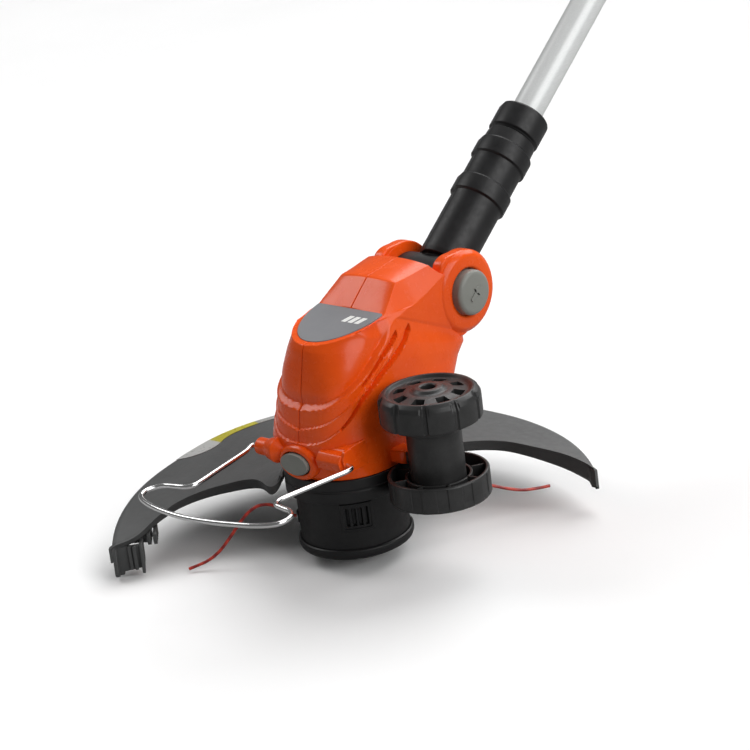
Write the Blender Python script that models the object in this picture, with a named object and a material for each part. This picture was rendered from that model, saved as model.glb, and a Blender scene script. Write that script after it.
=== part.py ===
"""String trimmer with a tilting head, edging wheels and a telescoping shaft.

Frame: origin on the spool axis at the foot of the bump knob, +Z up, -Y the front of the
tool (wire guard side), +X the side with the edging wheels. Lengths below are millimetres.
"""
import math

import bmesh
import bpy
from mathutils import Vector

MM = 0.001
GAP = 0.3                                # clearance between neighbouring pieces

# spool and cutting head
KNOB_RADIUS = 16.5
KNOB_FOOT_RADIUS = 11.0
SPOOL_RADIUS = 41.4
FLANGE_RADIUS = 43.7
SPOOL_TOP = 58.0
SPOOL_WALL = 2.8
EYELET_HEIGHT = 34.0
EYELET_AZIMUTHS = (225.0, 45.0)
LINE_RADIUS = 0.85
BASE_RADIUS = 48.0
BASE_TOP = 76.0
SHAFT_RADIUS = 4.0
MOTOR_RADIUS = 25.0

# head housing
SHELL_WALL = 2.4
SEAM = 0.15                              # half of the gap between the two halves
HEAD_STATIONS = (
    # front point (y, z), rear point (y, z), half width, roundness of the section
    ((-45.0, 76.3), (48.0, 76.3), 46.0, 2.2),
    ((-47.5, 92.0), (64.0, 91.0), 46.0, 2.5),
    ((-47.0, 106.0), (76.0, 103.0), 45.5, 2.8),
    ((-41.0, 128.0), (88.0, 114.0), 44.5, 3.0),
    ((-36.0, 145.0), (94.0, 122.0), 43.5, 3.0),
    ((-29.0, 170.0), (98.0, 130.0), 41.5, 3.2),
    ((-22.0, 176.0), (99.0, 134.0), 40.0, 4.0),
    ((24.0, 185.5), (99.0, 139.0), 38.0, 5.0),
    ((46.0, 204.0), (98.0, 142.0), 37.0, 5.0),
    ((70.0, 210.0), (96.0, 144.0), 36.0, 5.0),
)
HEAD_SCREWS = (                          # (y, z, half width of the housing there)
    (-14.0, 158.0, 34.0), (48.0, 188.0, 38.0), (50.0, 96.0, 45.5), (74.0, 139.0, 42.0))

# tilt joint between the head and the shaft sleeve
PIVOT_Y = 113.0
PIVOT_Z = 175.0
EAR_RADIUS = 32.0
EAR_INNER = 25.3
EAR_OUTER = 38.0
EAR_FLOOR = 30.3
BARREL_RADIUS = 24.0
TRUNNION_RADIUS = 10.0
BUTTON_RADIUS = 17.5
BUTTON_FACE = 45.0
BUTTON_BACK = 35.5
STEM_RADIUS = 6.0
STEM_END = 33.9                          # clears the trunnion by its own gap when pressed

# shaft, measured along its axis from the tilt joint
SHAFT_ANGLE = math.radians(37.7)         # above the ground when the head stands level
SLEEVE_RADIUS = 19.6
SLEEVE_END = 129.0
LOWER_TUBE_RADIUS = 12.6
LOWER_TUBE = (62.5, 640.0)
UPPER_TUBE_RADIUS = 14.9
UPPER_TUBE = (520.0, 905.0)
CLAMP = (505.0, 560.0)
AUX_POSITION = 735.0

# wire guard
WIRE_RADIUS = 1.9
WIRE_PIVOT = (-46.0, 95.0)               # (y, z)
WIRE_SLOPE = 0.06                        # fall towards the front
WIRE_BOSS_RADIUS = 6.5
WIRE_BOSS_ENDS = (42.5, 47.0)            # left and right
FRONT_BUTTON_Z = 92.0

# debris guard, in polar coordinates round the spool axis
GUARD_MIDDLE = 141.5
GUARD_INNER = 50.2
GUARD_OUTER = 185.0
GUARD_HUB_Z = 64.0
GUARD_THICKNESS = 2.6
GUARD_LUGS = (104.0, 141.5, 179.0)       # azimuths of the three fixing lugs
SPAN_RADII = (49.0, 58.0, 68.0, 77.0, 104.0, 138.0, 150.0, 172.0, 185.0)
SPAN_DEGREES = (92.5, 86.0, 70.0, 63.0, 62.5, 69.5, 75.5, 84.5, 93.0)
RIM_OFFSETS = (-94.5, -86.0, -75.0, -60.0, -42.0, -25.0, 0.0, 25.0, 42.0, 60.0, 75.0, 86.0, 94.5)
RIM_HEIGHTS = (34.5, 37.0, 39.5, 42.0, 45.0, 50.0, 52.0, 50.0, 44.5, 39.5, 32.5, 27.0, 20.0)
LIP_RADII = (49.0, 77.0, 104.0, 150.0, 185.0)
LIP_DEPTHS = (3.0, 4.5, 6.0, 7.0, 8.0)
RIM_SKIRT = 12.0

# edging wheels
WHEEL_X = 85.5
WHEEL_Y = 7.7
WHEEL_RADIUS = 37.6
UPPER_WHEEL = (119.0, 141.2)
LOWER_WHEEL = (58.7, 78.1)
AXLE_RADIUS = 5.0
DRUM_RADIUS = 21.2

# rear handle, in the shaft's own frame: (y, s) with -y the upper side
HANDLE_STATIONS = (
    ((-20.0, 860.0), (20.0, 860.0), 20.0, 2.2),
    ((-22.0, 900.0), (24.0, 900.0), 22.0, 2.6),
    ((-20.0, 935.0), (22.0, 935.0), 19.0, 2.6),
    ((-19.0, 960.0), (19.0, 960.0), 17.0, 2.4),
    ((-18.0, 1040.0), (19.0, 1040.0), 17.0, 2.4),
    ((-23.0, 1064.0), (28.0, 1064.0), 22.0, 3.0),
    ((-34.0, 1084.0), (46.0, 1084.0), 32.0, 4.0),
    ((-36.0, 1120.0), (52.0, 1120.0), 34.0, 5.0),
)
HANDLE_SCREWS = ((12.0, 915.0, 20.0), (-6.0, 1050.0, 18.5), (38.0, 1100.0, 33.0))
BATTERY = (1121.0, 1196.0)
TRIGGER_PIVOT = (9.0, 988.0)

COLOURS = {
    "orange": ((0.80, 0.12, 0.02), 0.30, 0.0),
    "black": ((0.022, 0.022, 0.024), 0.45, 0.0),
    "dark_grey": ((0.075, 0.075, 0.075), 0.50, 0.0),
    "grey": ((0.29, 0.30, 0.31), 0.45, 0.0),
    "steel": ((0.62, 0.62, 0.63), 0.22, 1.0),
    "aluminium": ((0.80, 0.81, 0.82), 0.35, 1.0),
    "red_line": ((0.45, 0.03, 0.02), 0.40, 0.0),
    "rubber": ((0.03, 0.03, 0.03), 0.80, 0.0),
    "board": ((0.02, 0.18, 0.07), 0.50, 0.0),
    "brass": ((0.70, 0.50, 0.20), 0.35, 1.0),
}


def material(name):
    """Principled material of a named finish, made once and shared."""
    found = bpy.data.materials.get(name)
    if found:
        return found
    colour, roughness, metallic = COLOURS[name]
    made = bpy.data.materials.new(name)
    made.use_nodes = True
    shader = made.node_tree.nodes["Principled BSDF"]
    shader.inputs["Base Color"].default_value = (*colour, 1.0)
    shader.inputs["Roughness"].default_value = roughness
    shader.inputs["Metallic"].default_value = metallic
    return made


def interpolate(x, xs, ys):
    """Piecewise linear value at x, held level past both ends."""
    if x <= xs[0]:
        return ys[0]
    for index in range(1, len(xs)):
        if x <= xs[index]:
            part = (x - xs[index - 1]) / (xs[index] - xs[index - 1])
            return ys[index - 1] + part * (ys[index] - ys[index - 1])
    return ys[-1]


def empty(name, location, rotation=(0.0, 0.0, 0.0)):
    """Empty that carries a moving group or a turned frame."""
    made = bpy.data.objects.new(name, None)
    made.location = Vector(location) * MM
    made.rotation_euler = rotation
    bpy.context.collection.objects.link(made)
    return made


def place(name, mesh, finish, location, rotation, parent, tool):
    """Object for a finished mesh, or a hidden cutter when tool is set."""
    made = bpy.data.objects.new(name, mesh)
    bpy.context.collection.objects.link(made)
    made.location = Vector(location) * MM
    made.rotation_euler = rotation
    made.parent = parent
    if tool:
        made.hide_render = True
        made.display_type = 'WIRE'
    else:
        mesh.materials.append(material(finish))
        mesh.shade_smooth()
        mesh.set_sharp_from_angle(angle=math.radians(35.0))
    return made


def solid(name, points, faces, finish=None, location=(0, 0, 0), rotation=(0, 0, 0),
          parent=None, tool=False):
    """Closed body from points in millimetres, its faces turned outwards."""
    mesh = bpy.data.meshes.new(name)
    mesh.from_pydata([tuple(c * MM for c in point) for point in points], [], faces)
    work = bmesh.new()
    work.from_mesh(mesh)
    bmesh.ops.recalc_face_normals(work, faces=work.faces)
    if work.calc_volume(signed=True) < 0.0:
        bmesh.ops.reverse_faces(work, faces=work.faces)
    work.to_mesh(mesh)
    work.free()
    return place(name, mesh, finish, location, rotation, parent, tool)


def turned(name, profile, finish=None, segments=28, **where):
    """Body of revolution about local Z. A profile that starts and ends at radius 0 gives a
    solid, any other is a closed loop of (radius, z) and gives a ring."""
    whole = profile[0][0] == 0.0 and profile[-1][0] == 0.0
    rows = profile[1:-1] if whole else profile
    points = []
    for radius, height in rows:
        for step in range(segments):
            angle = 2.0 * math.pi * step / segments
            points.append((radius * math.cos(angle), radius * math.sin(angle), height))
    faces = []
    count = len(rows)
    for row in range(count - 1 if whole else count):
        upper = (row + 1) % count
        for step in range(segments):
            after = (step + 1) % segments
            faces.append((row * segments + step, row * segments + after,
                          upper * segments + after, upper * segments + step))
    if whole:
        faces.append(tuple(range(segments)))
        faces.append(tuple(range((count - 1) * segments, count * segments)))
        if profile[0][1] != rows[0][1]:
            raise ValueError(name + ": a whole profile needs flat ends")
    return solid(name, points, faces, finish, **where)


def rod(name, radius, low, high, finish=None, segments=20, **where):
    """Plain cylinder about local Z."""
    return turned(name, ((0.0, low), (radius, low), (radius, high), (0.0, high)), finish,
                  segments, **where)


def ring(name, inner, outer, low, high, finish=None, segments=24, **where):
    """Plain tube about local Z."""
    return turned(name, ((inner, low), (outer, low), (outer, high), (inner, high)), finish,
                  segments, **where)


def prism(name, outline, low, high, finish=None, **where):
    """Outline in local XY carried from z = low to z = high."""
    count = len(outline)
    points = [(x, y, low) for x, y in outline] + [(x, y, high) for x, y in outline]
    faces = [tuple(range(count)), tuple(range(count, 2 * count))]
    for index in range(count):
        after = (index + 1) % count
        faces.append((index, after, count + after, count + index))
    return solid(name, points, faces, finish, **where)


def block(name, low, high, finish=None, bevel=0.0, **where):
    """Box between two corners, its edges rounded when a bevel is given."""
    outline = ((low[0], low[1]), (high[0], low[1]), (high[0], high[1]), (low[0], high[1]))
    made = prism(name, outline, low[2], high[2], finish, **where)
    if bevel:
        rounding = made.modifiers.new("rounding", 'BEVEL')
        rounding.width = bevel * MM
        rounding.segments = 2
    return made


def oval(half_x, half_y, count=32):
    """Points of an ellipse in local XY."""
    steps = (2.0 * math.pi * step / count for step in range(count))
    return [(half_x * math.cos(angle), half_y * math.sin(angle)) for angle in steps]


def combine(target, tool, operation):
    """Boolean of one object by another, which becomes a hidden cutter."""
    tool.hide_render = True
    tool.display_type = 'WIRE'
    change = target.modifiers.new(operation.lower(), 'BOOLEAN')
    change.operation = operation
    change.solver = 'EXACT'
    change.object = tool


def cut(target, tool):
    combine(target, tool, 'DIFFERENCE')


def fuse(target, tool):
    combine(target, tool, 'UNION')


def along_x(side):
    """Rotation that turns local +Z to +X (side 1) or -X (side -1)."""
    return (0.0, side * math.pi / 2.0, 0.0)


def smooth_path(points, count, closed=False):
    """Points on the Catmull-Rom curve through the given ones, at equal parameter steps."""
    places = [Vector(point) for point in points]
    size = len(places)
    spans = size if closed else size - 1
    found = []
    for step in range(count):
        travel = spans * step / (count if closed else count - 1)
        index = min(int(travel), spans - 1)
        part = travel - index
        near = []
        for shift in (-1, 0, 1, 2):
            wanted = index + shift
            near.append(places[wanted % size] if closed else places[max(0, min(size - 1, wanted))])
        before, start, end, after = near
        found.append(0.5 * (2.0 * start + (end - before) * part
                            + (2.0 * before - 5.0 * start + 4.0 * end - after) * part ** 2
                            + (3.0 * start - before - 3.0 * end + after) * part ** 3))
    return found


def swept(name, path, radius, sides, finish=None, closed=False, **where):
    """Round bar along a path, its section carried without twist."""
    count = len(path)
    points = []
    normal = None
    for index in range(count):
        behind = path[(index - 1) % count] if closed else path[max(index - 1, 0)]
        ahead = path[(index + 1) % count] if closed else path[min(index + 1, count - 1)]
        tangent = (ahead - behind).normalized()
        if normal is None:
            guess = Vector((0, 0, 1)) if abs(tangent.z) < 0.9 else Vector((1, 0, 0))
            normal = guess
        normal = (normal - tangent * normal.dot(tangent)).normalized()
        across = tangent.cross(normal)
        for side in range(sides):
            angle = 2.0 * math.pi * side / sides
            points.append(path[index] + radius * (math.cos(angle) * normal
                                                  + math.sin(angle) * across))
    faces = []
    for index in range(count if closed else count - 1):
        after = (index + 1) % count
        for side in range(sides):
            turn = (side + 1) % sides
            faces.append((index * sides + side, index * sides + turn,
                          after * sides + turn, after * sides + side))
    if not closed:
        faces.append(tuple(range(sides)))
        faces.append(tuple(range((count - 1) * sides, count * sides)))
    return solid(name, points, faces, finish, **where)


def half_shell(name, stations, side, wall, open_end, finish, parent=None, steps=10):
    """One half of a moulded casing, on the +X side (1) or the -X side (-1). Each station is a
    plane section: half of a superellipse whose long axis joins the front and rear points.
    The first station is open, the last is closed unless open_end is set."""
    def section(station, inset):
        front, rear, width, power = station
        middle = Vector(((front[0] + rear[0]) / 2.0, (front[1] + rear[1]) / 2.0))
        reach = Vector((front[0] - middle.x, front[1] - middle.y))
        half = reach.length - inset
        reach.normalize()
        found = []
        for step in range(steps + 1):
            angle = math.pi * step / steps
            cosine = math.cos(angle)
            along = math.copysign(abs(cosine) ** (2.0 / power), cosine) * half
            out = SEAM + abs(math.sin(angle)) ** (2.0 / power) * (width - inset - SEAM)
            found.append((side * out, middle.x + reach.x * along, middle.y + reach.y * along))
        return found

    outer = [section(station, 0.0) for station in stations]
    inner = [section(station, wall) for station in stations]
    if not open_end:
        # the inner skin stops one wall short of the closed end
        last = stations[-1]
        before = stations[-2]
        share = wall / (Vector(last[0]) - Vector(before[0])).length
        mix = [tuple(a + (b - a) * share for a, b in zip(last[k], before[k])) for k in (0, 1)]
        inner[-1] = section((mix[0], mix[1], last[2], last[3]), wall)
    row = steps + 1
    count = len(stations)
    points = [point for ring_points in outer for point in ring_points]
    shift = len(points)
    points += [point for ring_points in inner for point in ring_points]
    faces = []
    for level in range(count - 1):
        low, high = level * row, (level + 1) * row
        for step in range(steps):
            quad = (low + step, low + step + 1, high + step + 1, high + step)
            faces.append(quad)
            faces.append(tuple(shift + corner for corner in reversed(quad)))
        for edge in (0, steps):
            faces.append((low + edge, high + edge, shift + high + edge, shift + low + edge))
    for step in range(steps):
        faces.append((step, step + 1, shift + step + 1, shift + step))
    top = (count - 1) * row
    if open_end:
        for step in range(steps):
            faces.append((top + step, top + step + 1, shift + top + step + 1, shift + top + step))
    else:
        faces.append(tuple(range(top, top + row)))
        faces.append(tuple(range(shift + top, shift + top + row)))
        faces.append((top, top + steps, shift + top + steps, shift + top))
    return solid(name, points, faces, finish, parent=parent)


def screw_in_posts(name, left, right, position, parent):
    """Deep-set screw along X: a counterbored post in the left half, a blind one in the right."""
    y, z, wall_x = position
    spot = {"location": (0.0, y, z), "parent": parent}
    reach = wall_x - 1.2
    left_turn, right_turn = along_x(-1), along_x(1)
    fuse(left, rod(name + "_post_l", 6.2, 1.0, reach, tool=True, rotation=left_turn,
                   segments=10, **spot))
    fuse(right, rod(name + "_post_r", 4.6, 1.0, reach, tool=True, rotation=right_turn,
                    segments=10, **spot))
    cut(left, turned(name + "_counterbore",
                     ((0.0, -1.0), (2.4, -1.0), (2.4, 12.0), (4.2, 12.0), (4.2, wall_x + 6.0),
                      (0.0, wall_x + 6.0)), segments=10, tool=True, rotation=left_turn, **spot))
    cut(right, rod(name + "_hole_r", 2.4, 0.0, 16.0, tool=True, rotation=right_turn,
                   segments=8, **spot))
    turned(name, ((0.0, -14.0), (2.0, -14.0), (2.0, 12.4), (3.8, 12.4), (3.8, 15.0), (0.0, 15.0)),
           "steel", 8, rotation=left_turn, **spot)


def half_span(radius):
    """Half of the guard's angular span at a radius, in degrees."""
    return interpolate(radius, SPAN_RADII, SPAN_DEGREES)


def guard_height(radius, offset):
    """Height of the guard's top face, offset degrees from its middle."""
    part = max(0.0, (radius - GUARD_INNER) / (GUARD_OUTER - GUARD_INNER)) ** 0.8
    rim = interpolate(offset, RIM_OFFSETS, RIM_HEIGHTS)
    return GUARD_HUB_Z + (rim - GUARD_HUB_Z) * part


def build_guard(head):
    """Debris guard: a crescent dish with a skirt at the rim and a lip on both open edges."""
    across, along = 24, 9
    flare = 1.5
    points = []
    for row in range(along + 2):
        share = min(row, along) / along
        radius = GUARD_INNER + (GUARD_OUTER - GUARD_INNER) * share
        for column in range(-1, across + 2):
            turn = 2.0 * min(max(column, 0), across) / across - 1.0
            offset = turn * half_span(radius)
            height = guard_height(radius, offset)
            reach = radius
            drop = 0.0
            if column in (-1, across + 1):
                offset += math.copysign(math.degrees(flare / radius), turn)
                drop = interpolate(radius, LIP_RADII, LIP_DEPTHS)
            if row == along + 1:
                reach = radius + flare
                drop = RIM_SKIRT
            angle = math.radians(GUARD_MIDDLE + offset)
            points.append((reach * math.cos(angle), reach * math.sin(angle), height - drop))
    width = across + 3
    faces = []
    for row in range(along + 1):
        for column in range(width - 1):
            corner = row * width + column
            faces.append((corner, corner + width, corner + width + 1, corner + 1))
    mesh = bpy.data.meshes.new("debris_guard")
    mesh.from_pydata([tuple(c * MM for c in point) for point in points], [], faces)
    guard = place("debris_guard", mesh, "dark_grey", (0, 0, 0), (0, 0, 0), head, False)
    if mesh.polygons[0].normal.z < 0.0:
        mesh.flip_normals()
    wall = guard.modifiers.new("wall", 'SOLIDIFY')
    wall.thickness = GUARD_THICKNESS * MM
    wall.offset = -1.0
    return guard


def build_head(head):
    """Everything that tilts with the motor housing."""
    left = half_shell("housing_left", HEAD_STATIONS, -1, SHELL_WALL, False, "orange", head)
    right = half_shell("housing_right", HEAD_STATIONS, 1, SHELL_WALL, False, "orange", head)
    pivot = (0.0, PIVOT_Y, PIVOT_Z)
    boss_y, boss_z = WIRE_PIVOT
    for side, half in ((-1, left), (1, right)):
        tag = "l" if side < 0 else "r"
        turn = along_x(side)
        tools = {"tool": True, "rotation": turn, "parent": head}
        fuse(half, rod("ear_" + tag, EAR_RADIUS, EAR_INNER, EAR_OUTER, segments=32,
                       location=pivot, **tools))
        neck_low = (EAR_INNER if side > 0 else -37.0, 78.0, 158.0)
        neck_high = (37.0 if side > 0 else -EAR_INNER, 112.0, 192.0)
        fuse(half, block("neck_" + tag, neck_low, neck_high, tool=True, parent=head))
        cut(half, rod("recess_" + tag, BUTTON_RADIUS + 0.6, EAR_FLOOR, EAR_OUTER + 5.0,
                      segments=28, location=pivot, **tools))
        cut(half, rod("ear_hole_" + tag, TRUNNION_RADIUS + 0.4, 20.0, EAR_FLOOR + 1.0,
                      location=pivot, **tools))
        cut(half, rod("barrel_room_" + tag, BARREL_RADIUS + 1.5, 0.0, EAR_INNER, segments=40,
                      location=pivot, **tools))
        boss_end = WIRE_BOSS_ENDS[side > 0]
        fuse(half, rod("wire_boss_" + tag, WIRE_BOSS_RADIUS, 13.0, boss_end, segments=16,
                       location=(0.0, boss_y + 2.0, boss_z), **tools))
        cut(half, rod("wire_hole_" + tag, WIRE_RADIUS + 0.4, boss_end - 8.0, 60.0, segments=8,
                      location=(0.0, boss_y, boss_z), **tools))
    # seat of the front button: each half carries half of an oval collar
    forwards = {"location": (0.0, 0.0, FRONT_BUTTON_Z), "rotation": (math.pi / 2.0, 0.0, 0.0)}
    hole = prism("button_hole", oval(13.6, 9.8, 28), 30.0, 60.0, tool=True, parent=head, **forwards)
    for side, half in ((-1, left), (1, right)):
        angles = [math.pi * (step / 14.0 - 0.5) for step in range(15)]
        outline = [(side * (0.5 + 17.5 * math.cos(angle)), 14.0 * math.sin(angle))
                   for angle in angles]
        fuse(half, prism("button_seat_%d" % side, outline, 43.0, 54.5, tool=True, parent=head,
                         **forwards))
        cut(half, hole)
    for number, spot in enumerate(HEAD_SCREWS, 1):
        screw_in_posts("housing_screw_%d" % number, left, right, spot, head)
    # lug that carries the edging wheels
    fuse(right, block("wheel_lug", (40.0, 0.0, 80.0), (60.0, 15.4, 90.0), tool=True, parent=head))

    # grey panel let into the top, a half ellipse with its straight edge at the back
    panel = [(32.6 * math.cos(math.pi * step / 24), -52.0 * math.sin(math.pi * step / 24))
             for step in range(25)]
    prism("top_panel", panel, 0.0, 1.6, "grey", parent=head, location=(0.0, 25.5, 187.9),
          rotation=(math.radians(11.7), 0.0, 0.0))

    base = turned("base_ring", ((14.0, 72.0), (44.5, 72.0), (44.5, 57.8), (BASE_RADIUS, 57.8),
                                (BASE_RADIUS, BASE_TOP), (14.0, BASE_TOP)), "black", 36,
                  parent=head)
    guard = build_guard(head)
    for number, azimuth in enumerate(GUARD_LUGS, 1):
        angle = math.radians(azimuth)
        spot = (52.0 * math.cos(angle), 52.0 * math.sin(angle), 0.0)
        fuse(base, rod("lug_%d" % number, 6.5, 56.0, 58.8, tool=True, segments=12,
                       location=spot, parent=head))
    for number, azimuth in enumerate(GUARD_LUGS, 1):
        angle = math.radians(azimuth)
        spot = (54.0 * math.cos(angle), 54.0 * math.sin(angle), 0.0)
        bore = rod("lug_bore_%d" % number, 1.9, 50.0, 70.0, tool=True, segments=8,
                   location=spot, parent=head)
        cut(base, bore)
        cut(guard, bore)
        turned("guard_screw_%d" % number,
               ((0.0, 53.0), (3.4, 53.0), (3.4, 55.7), (1.5, 55.7), (1.5, 62.2), (0.0, 62.2)),
               "steel", 8, location=spot, parent=head)
    cut(base, rod("wheel_room", WHEEL_RADIUS + 1.8, 40.0, 90.0, tool=True, segments=36,
                  location=(WHEEL_X, WHEEL_Y, 0.0), parent=head))

    # line cutter: a folded steel blade under the left tip
    cutter_radius, cutter_offset = 168.0, 73.0
    under = guard_height(cutter_radius, cutter_offset) - GUARD_THICKNESS - 4.6
    cutter_turn = math.radians(GUARD_MIDDLE + cutter_offset)
    blade = ((-6.0, 0.0), (6.0, 0.0), (6.0, -11.0), (4.6, -11.0), (4.6, -1.4), (-6.0, -1.4))
    spot = (cutter_radius * math.cos(cutter_turn), cutter_radius * math.sin(cutter_turn), under)
    prism("line_cutter", blade, -8.0, 8.0, "steel", parent=head, location=spot,
          rotation=(math.pi / 2.0, 0.0, cutter_turn + math.pi / 2.0))

    # motor and its end cap, with a bore for the drive shaft
    turned("motor_can", ((SHAFT_RADIUS + 0.5, 79.0), (MOTOR_RADIUS, 79.0), (MOTOR_RADIUS, 132.0),
                         (MOTOR_RADIUS - 3.0, 135.0), (SHAFT_RADIUS + 0.5, 135.0)), "steel", 24,
           parent=head)
    turned("motor_brush_cap", ((SHAFT_RADIUS + 0.5, 135.4), (20.0, 135.4), (20.0, 144.0),
                               (9.0, 144.0), (9.0, 148.0), (SHAFT_RADIUS + 0.5, 148.0)), "black",
           16, parent=head)
    ring("shaft_bearing", 4.1, 10.5, 76.6, 78.6, "steel", 16, parent=head)

    # fixed post of the edging wheels, its tongue held by the housing's lug
    where = {"location": (WHEEL_X, WHEEL_Y, 0.0), "parent": head}
    post = ring("wheel_post", AXLE_RADIUS + GAP, DRUM_RADIUS, 62.4, UPPER_WHEEL[0] - 0.4, "black",
                24, **where)
    fuse(post, block("post_tongue", (60.4, 1.7, 81.0), (66.0, 13.7, 89.0), tool=True, parent=head))
    turned("wheel_axle", ((0.0, 54.6), (8.0, 54.6), (8.0, 58.3), (AXLE_RADIUS, 58.3),
                          (AXLE_RADIUS, 133.0), (0.0, 133.0)), "steel", 16, **where)


def build_head_movers(head):
    """Buttons, wheels and wire guard, each on its own joint."""
    for side, word in ((-1, "left"), (1, "right")):
        turned("tilt_button_" + word,
               ((0.0, STEM_END), (STEM_RADIUS, STEM_END), (STEM_RADIUS, BUTTON_BACK),
                (BUTTON_RADIUS, BUTTON_BACK), (BUTTON_RADIUS, BUTTON_FACE - 1.6),
                (BUTTON_RADIUS - 1.6, BUTTON_FACE), (0.0, BUTTON_FACE)), "grey", 24,
               location=(0.0, PIVOT_Y, PIVOT_Z), rotation=along_x(side), parent=head)
    prism("front_button", oval(13.2, 9.4, 24), 40.0, 56.5, "grey", parent=head,
          location=(0.0, 0.0, FRONT_BUTTON_Z), rotation=(math.pi / 2.0, 0.0, 0.0))
    low, high = UPPER_WHEEL
    spot = {"location": (WHEEL_X, WHEEL_Y, 0.0), "parent": head}
    bore = AXLE_RADIUS + GAP
    turned("edge_wheel_upper",
           ((bore, low), (9.0, low), (9.0, 134.0), (28.0, 134.0), (34.0, 130.0), (34.0, low),
            (WHEEL_RADIUS, low), (WHEEL_RADIUS, 137.6), (34.0, high), (31.5, high), (28.0, 137.0),
            (14.0, 137.0), (11.0, 140.6), (bore, 140.6)), "black", 28, **spot)
    low, high = LOWER_WHEEL
    turned("edge_wheel_lower",
           ((bore, low), (WHEEL_RADIUS, low), (WHEEL_RADIUS, high), (WHEEL_RADIUS - 2.8, high),
            (WHEEL_RADIUS - 2.8, 62.0), (24.6, 62.0), (24.6, 75.0), (22.6, 75.0), (22.6, 61.8),
            (bore, 61.8)), "black", 28, **spot)
    boss_y, boss_z = WIRE_PIVOT
    outline = ((40.0, -46.0), (48.5, -46.0), (53.0, -47.2), (54.4, -52.5), (51.2, -66.0),
               (46.5, -84.0), (42.0, -101.0), (40.6, -109.5), (43.6, -115.6), (51.0, -117.4),
               (60.0, -119.0), (66.2, -123.5), (68.4, -129.5), (67.4, -136.0), (62.0, -141.5),
               (53.5, -146.0), (43.9, -149.3), (19.0, -155.4), (-8.0, -158.6), (-34.0, -157.2),
               (-52.0, -153.4), (-63.0, -148.4), (-67.8, -142.0), (-67.4, -134.6),
               (-62.4, -127.6), (-54.0, -124.6), (-45.5, -122.4), (-40.4, -118.4),
               (-39.4, -112.5), (-41.0, -96.0), (-42.4, -81.5), (-44.6, -60.0), (-47.6, -51.5),
               (-47.6, -47.4), (-43.8, -46.0), (-35.5, -46.0))
    path = [(x, y - boss_y, (y - boss_y) * WIRE_SLOPE) for x, y in outline]
    swept("wire_guard", smooth_path(path, 58), WIRE_RADIUS, 6, "steel",
          location=(0.0, boss_y, boss_z), parent=head)


def spiral_spring(name, radius, wire, low, high, turns, parent, segments=8):
    """Compression spring about local Z with its ends drawn in flat."""
    count = turns * segments
    path = []
    for step in range(count + 1):
        share = step / count
        lift = min(max((share - 0.12) / 0.76, 0.0), 1.0)
        angle = 2.0 * math.pi * turns * share
        height = low + wire + (high - low - 2.0 * wire) * (0.5 * share * 0.3 + 0.85 * lift)
        path.append(Vector((radius * math.cos(angle), radius * math.sin(angle), height)))
    return swept(name, path, wire, 4, "steel", parent=parent)


def build_spool(spool):
    """Line head: housing, cap, hub and shaft turn together; the bobbin also slides in it."""
    cap_top = 16.0
    housing = turned("spool_housing",
                     ((12.2, SPOOL_TOP - 3.5), (SPOOL_RADIUS - SPOOL_WALL, SPOOL_TOP - 3.5),
                      (SPOOL_RADIUS - SPOOL_WALL, 11.4), (SPOOL_RADIUS, 11.4),
                      (SPOOL_RADIUS, SPOOL_TOP - 1.5), (SPOOL_RADIUS - 1.5, SPOOL_TOP - 0.5),
                      (12.2, SPOOL_TOP - 0.5)), "black", 36, parent=spool)
    for azimuth in EYELET_AZIMUTHS:
        cut(housing, rod("eyelet_hole_%d" % azimuth, 3.5, 30.0, 50.0, tool=True, segments=12,
                         location=(0.0, 0.0, EYELET_HEIGHT), parent=spool,
                         rotation=(0.0, math.pi / 2.0, math.radians(azimuth))))
    ring_wall = SPOOL_RADIUS + 0.3
    turned("spool_cap", ((17.4, 8.0), (FLANGE_RADIUS - 1.2, 8.0), (FLANGE_RADIUS, 9.4),
                         (FLANGE_RADIUS, cap_top), (ring_wall, cap_top), (ring_wall, 11.0),
                         (17.4, 11.0)), "black", 36, parent=spool)
    turned("drive_hub", ((SHAFT_RADIUS + 0.3, 46.4), (8.6, 46.4), (8.6, 54.0), (11.8, 54.0),
                         (11.8, 69.0), (SHAFT_RADIUS + 0.3, 69.0)), "steel", 24, parent=spool)
    rod("drive_shaft", SHAFT_RADIUS, 30.0, 152.0, "steel", 12, parent=spool)
    for number, azimuth in enumerate(EYELET_AZIMUTHS, 1):
        turned("line_eyelet_%d" % number,
               ((1.5, 37.4), (3.1, 37.4), (3.1, 41.9), (4.6, 41.9), (4.6, 42.9), (1.5, 42.9)),
               "steel", 12, location=(0.0, 0.0, EYELET_HEIGHT), parent=spool,
               rotation=(0.0, math.pi / 2.0, math.radians(azimuth)))
    spiral_spring("bump_spring", 6.6, 0.8, 15.0, 46.0, 6, spool)


def build_bobbin(bobbin):
    """Bobbin with its knob and the wound line, pushed up when the head is bumped."""
    turned("bump_knob", ((0.0, 0.0), (KNOB_FOOT_RADIUS, 0.0), (14.6, 1.4), (KNOB_RADIUS, 4.6),
                         (KNOB_RADIUS, 13.6), (0.0, 13.6)), "black", 24, parent=bobbin)
    turned("line_bobbin", ((9.0, 14.0), (37.0, 14.0), (37.0, 16.0), (14.0, 16.0), (14.0, 48.0),
                           (37.0, 48.0), (37.0, 50.0), (9.0, 50.0)), "black", 24, parent=bobbin)
    ring("wound_line", 14.3, 33.0, 16.4, 47.6, "red_line", 24, parent=bobbin)


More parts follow.
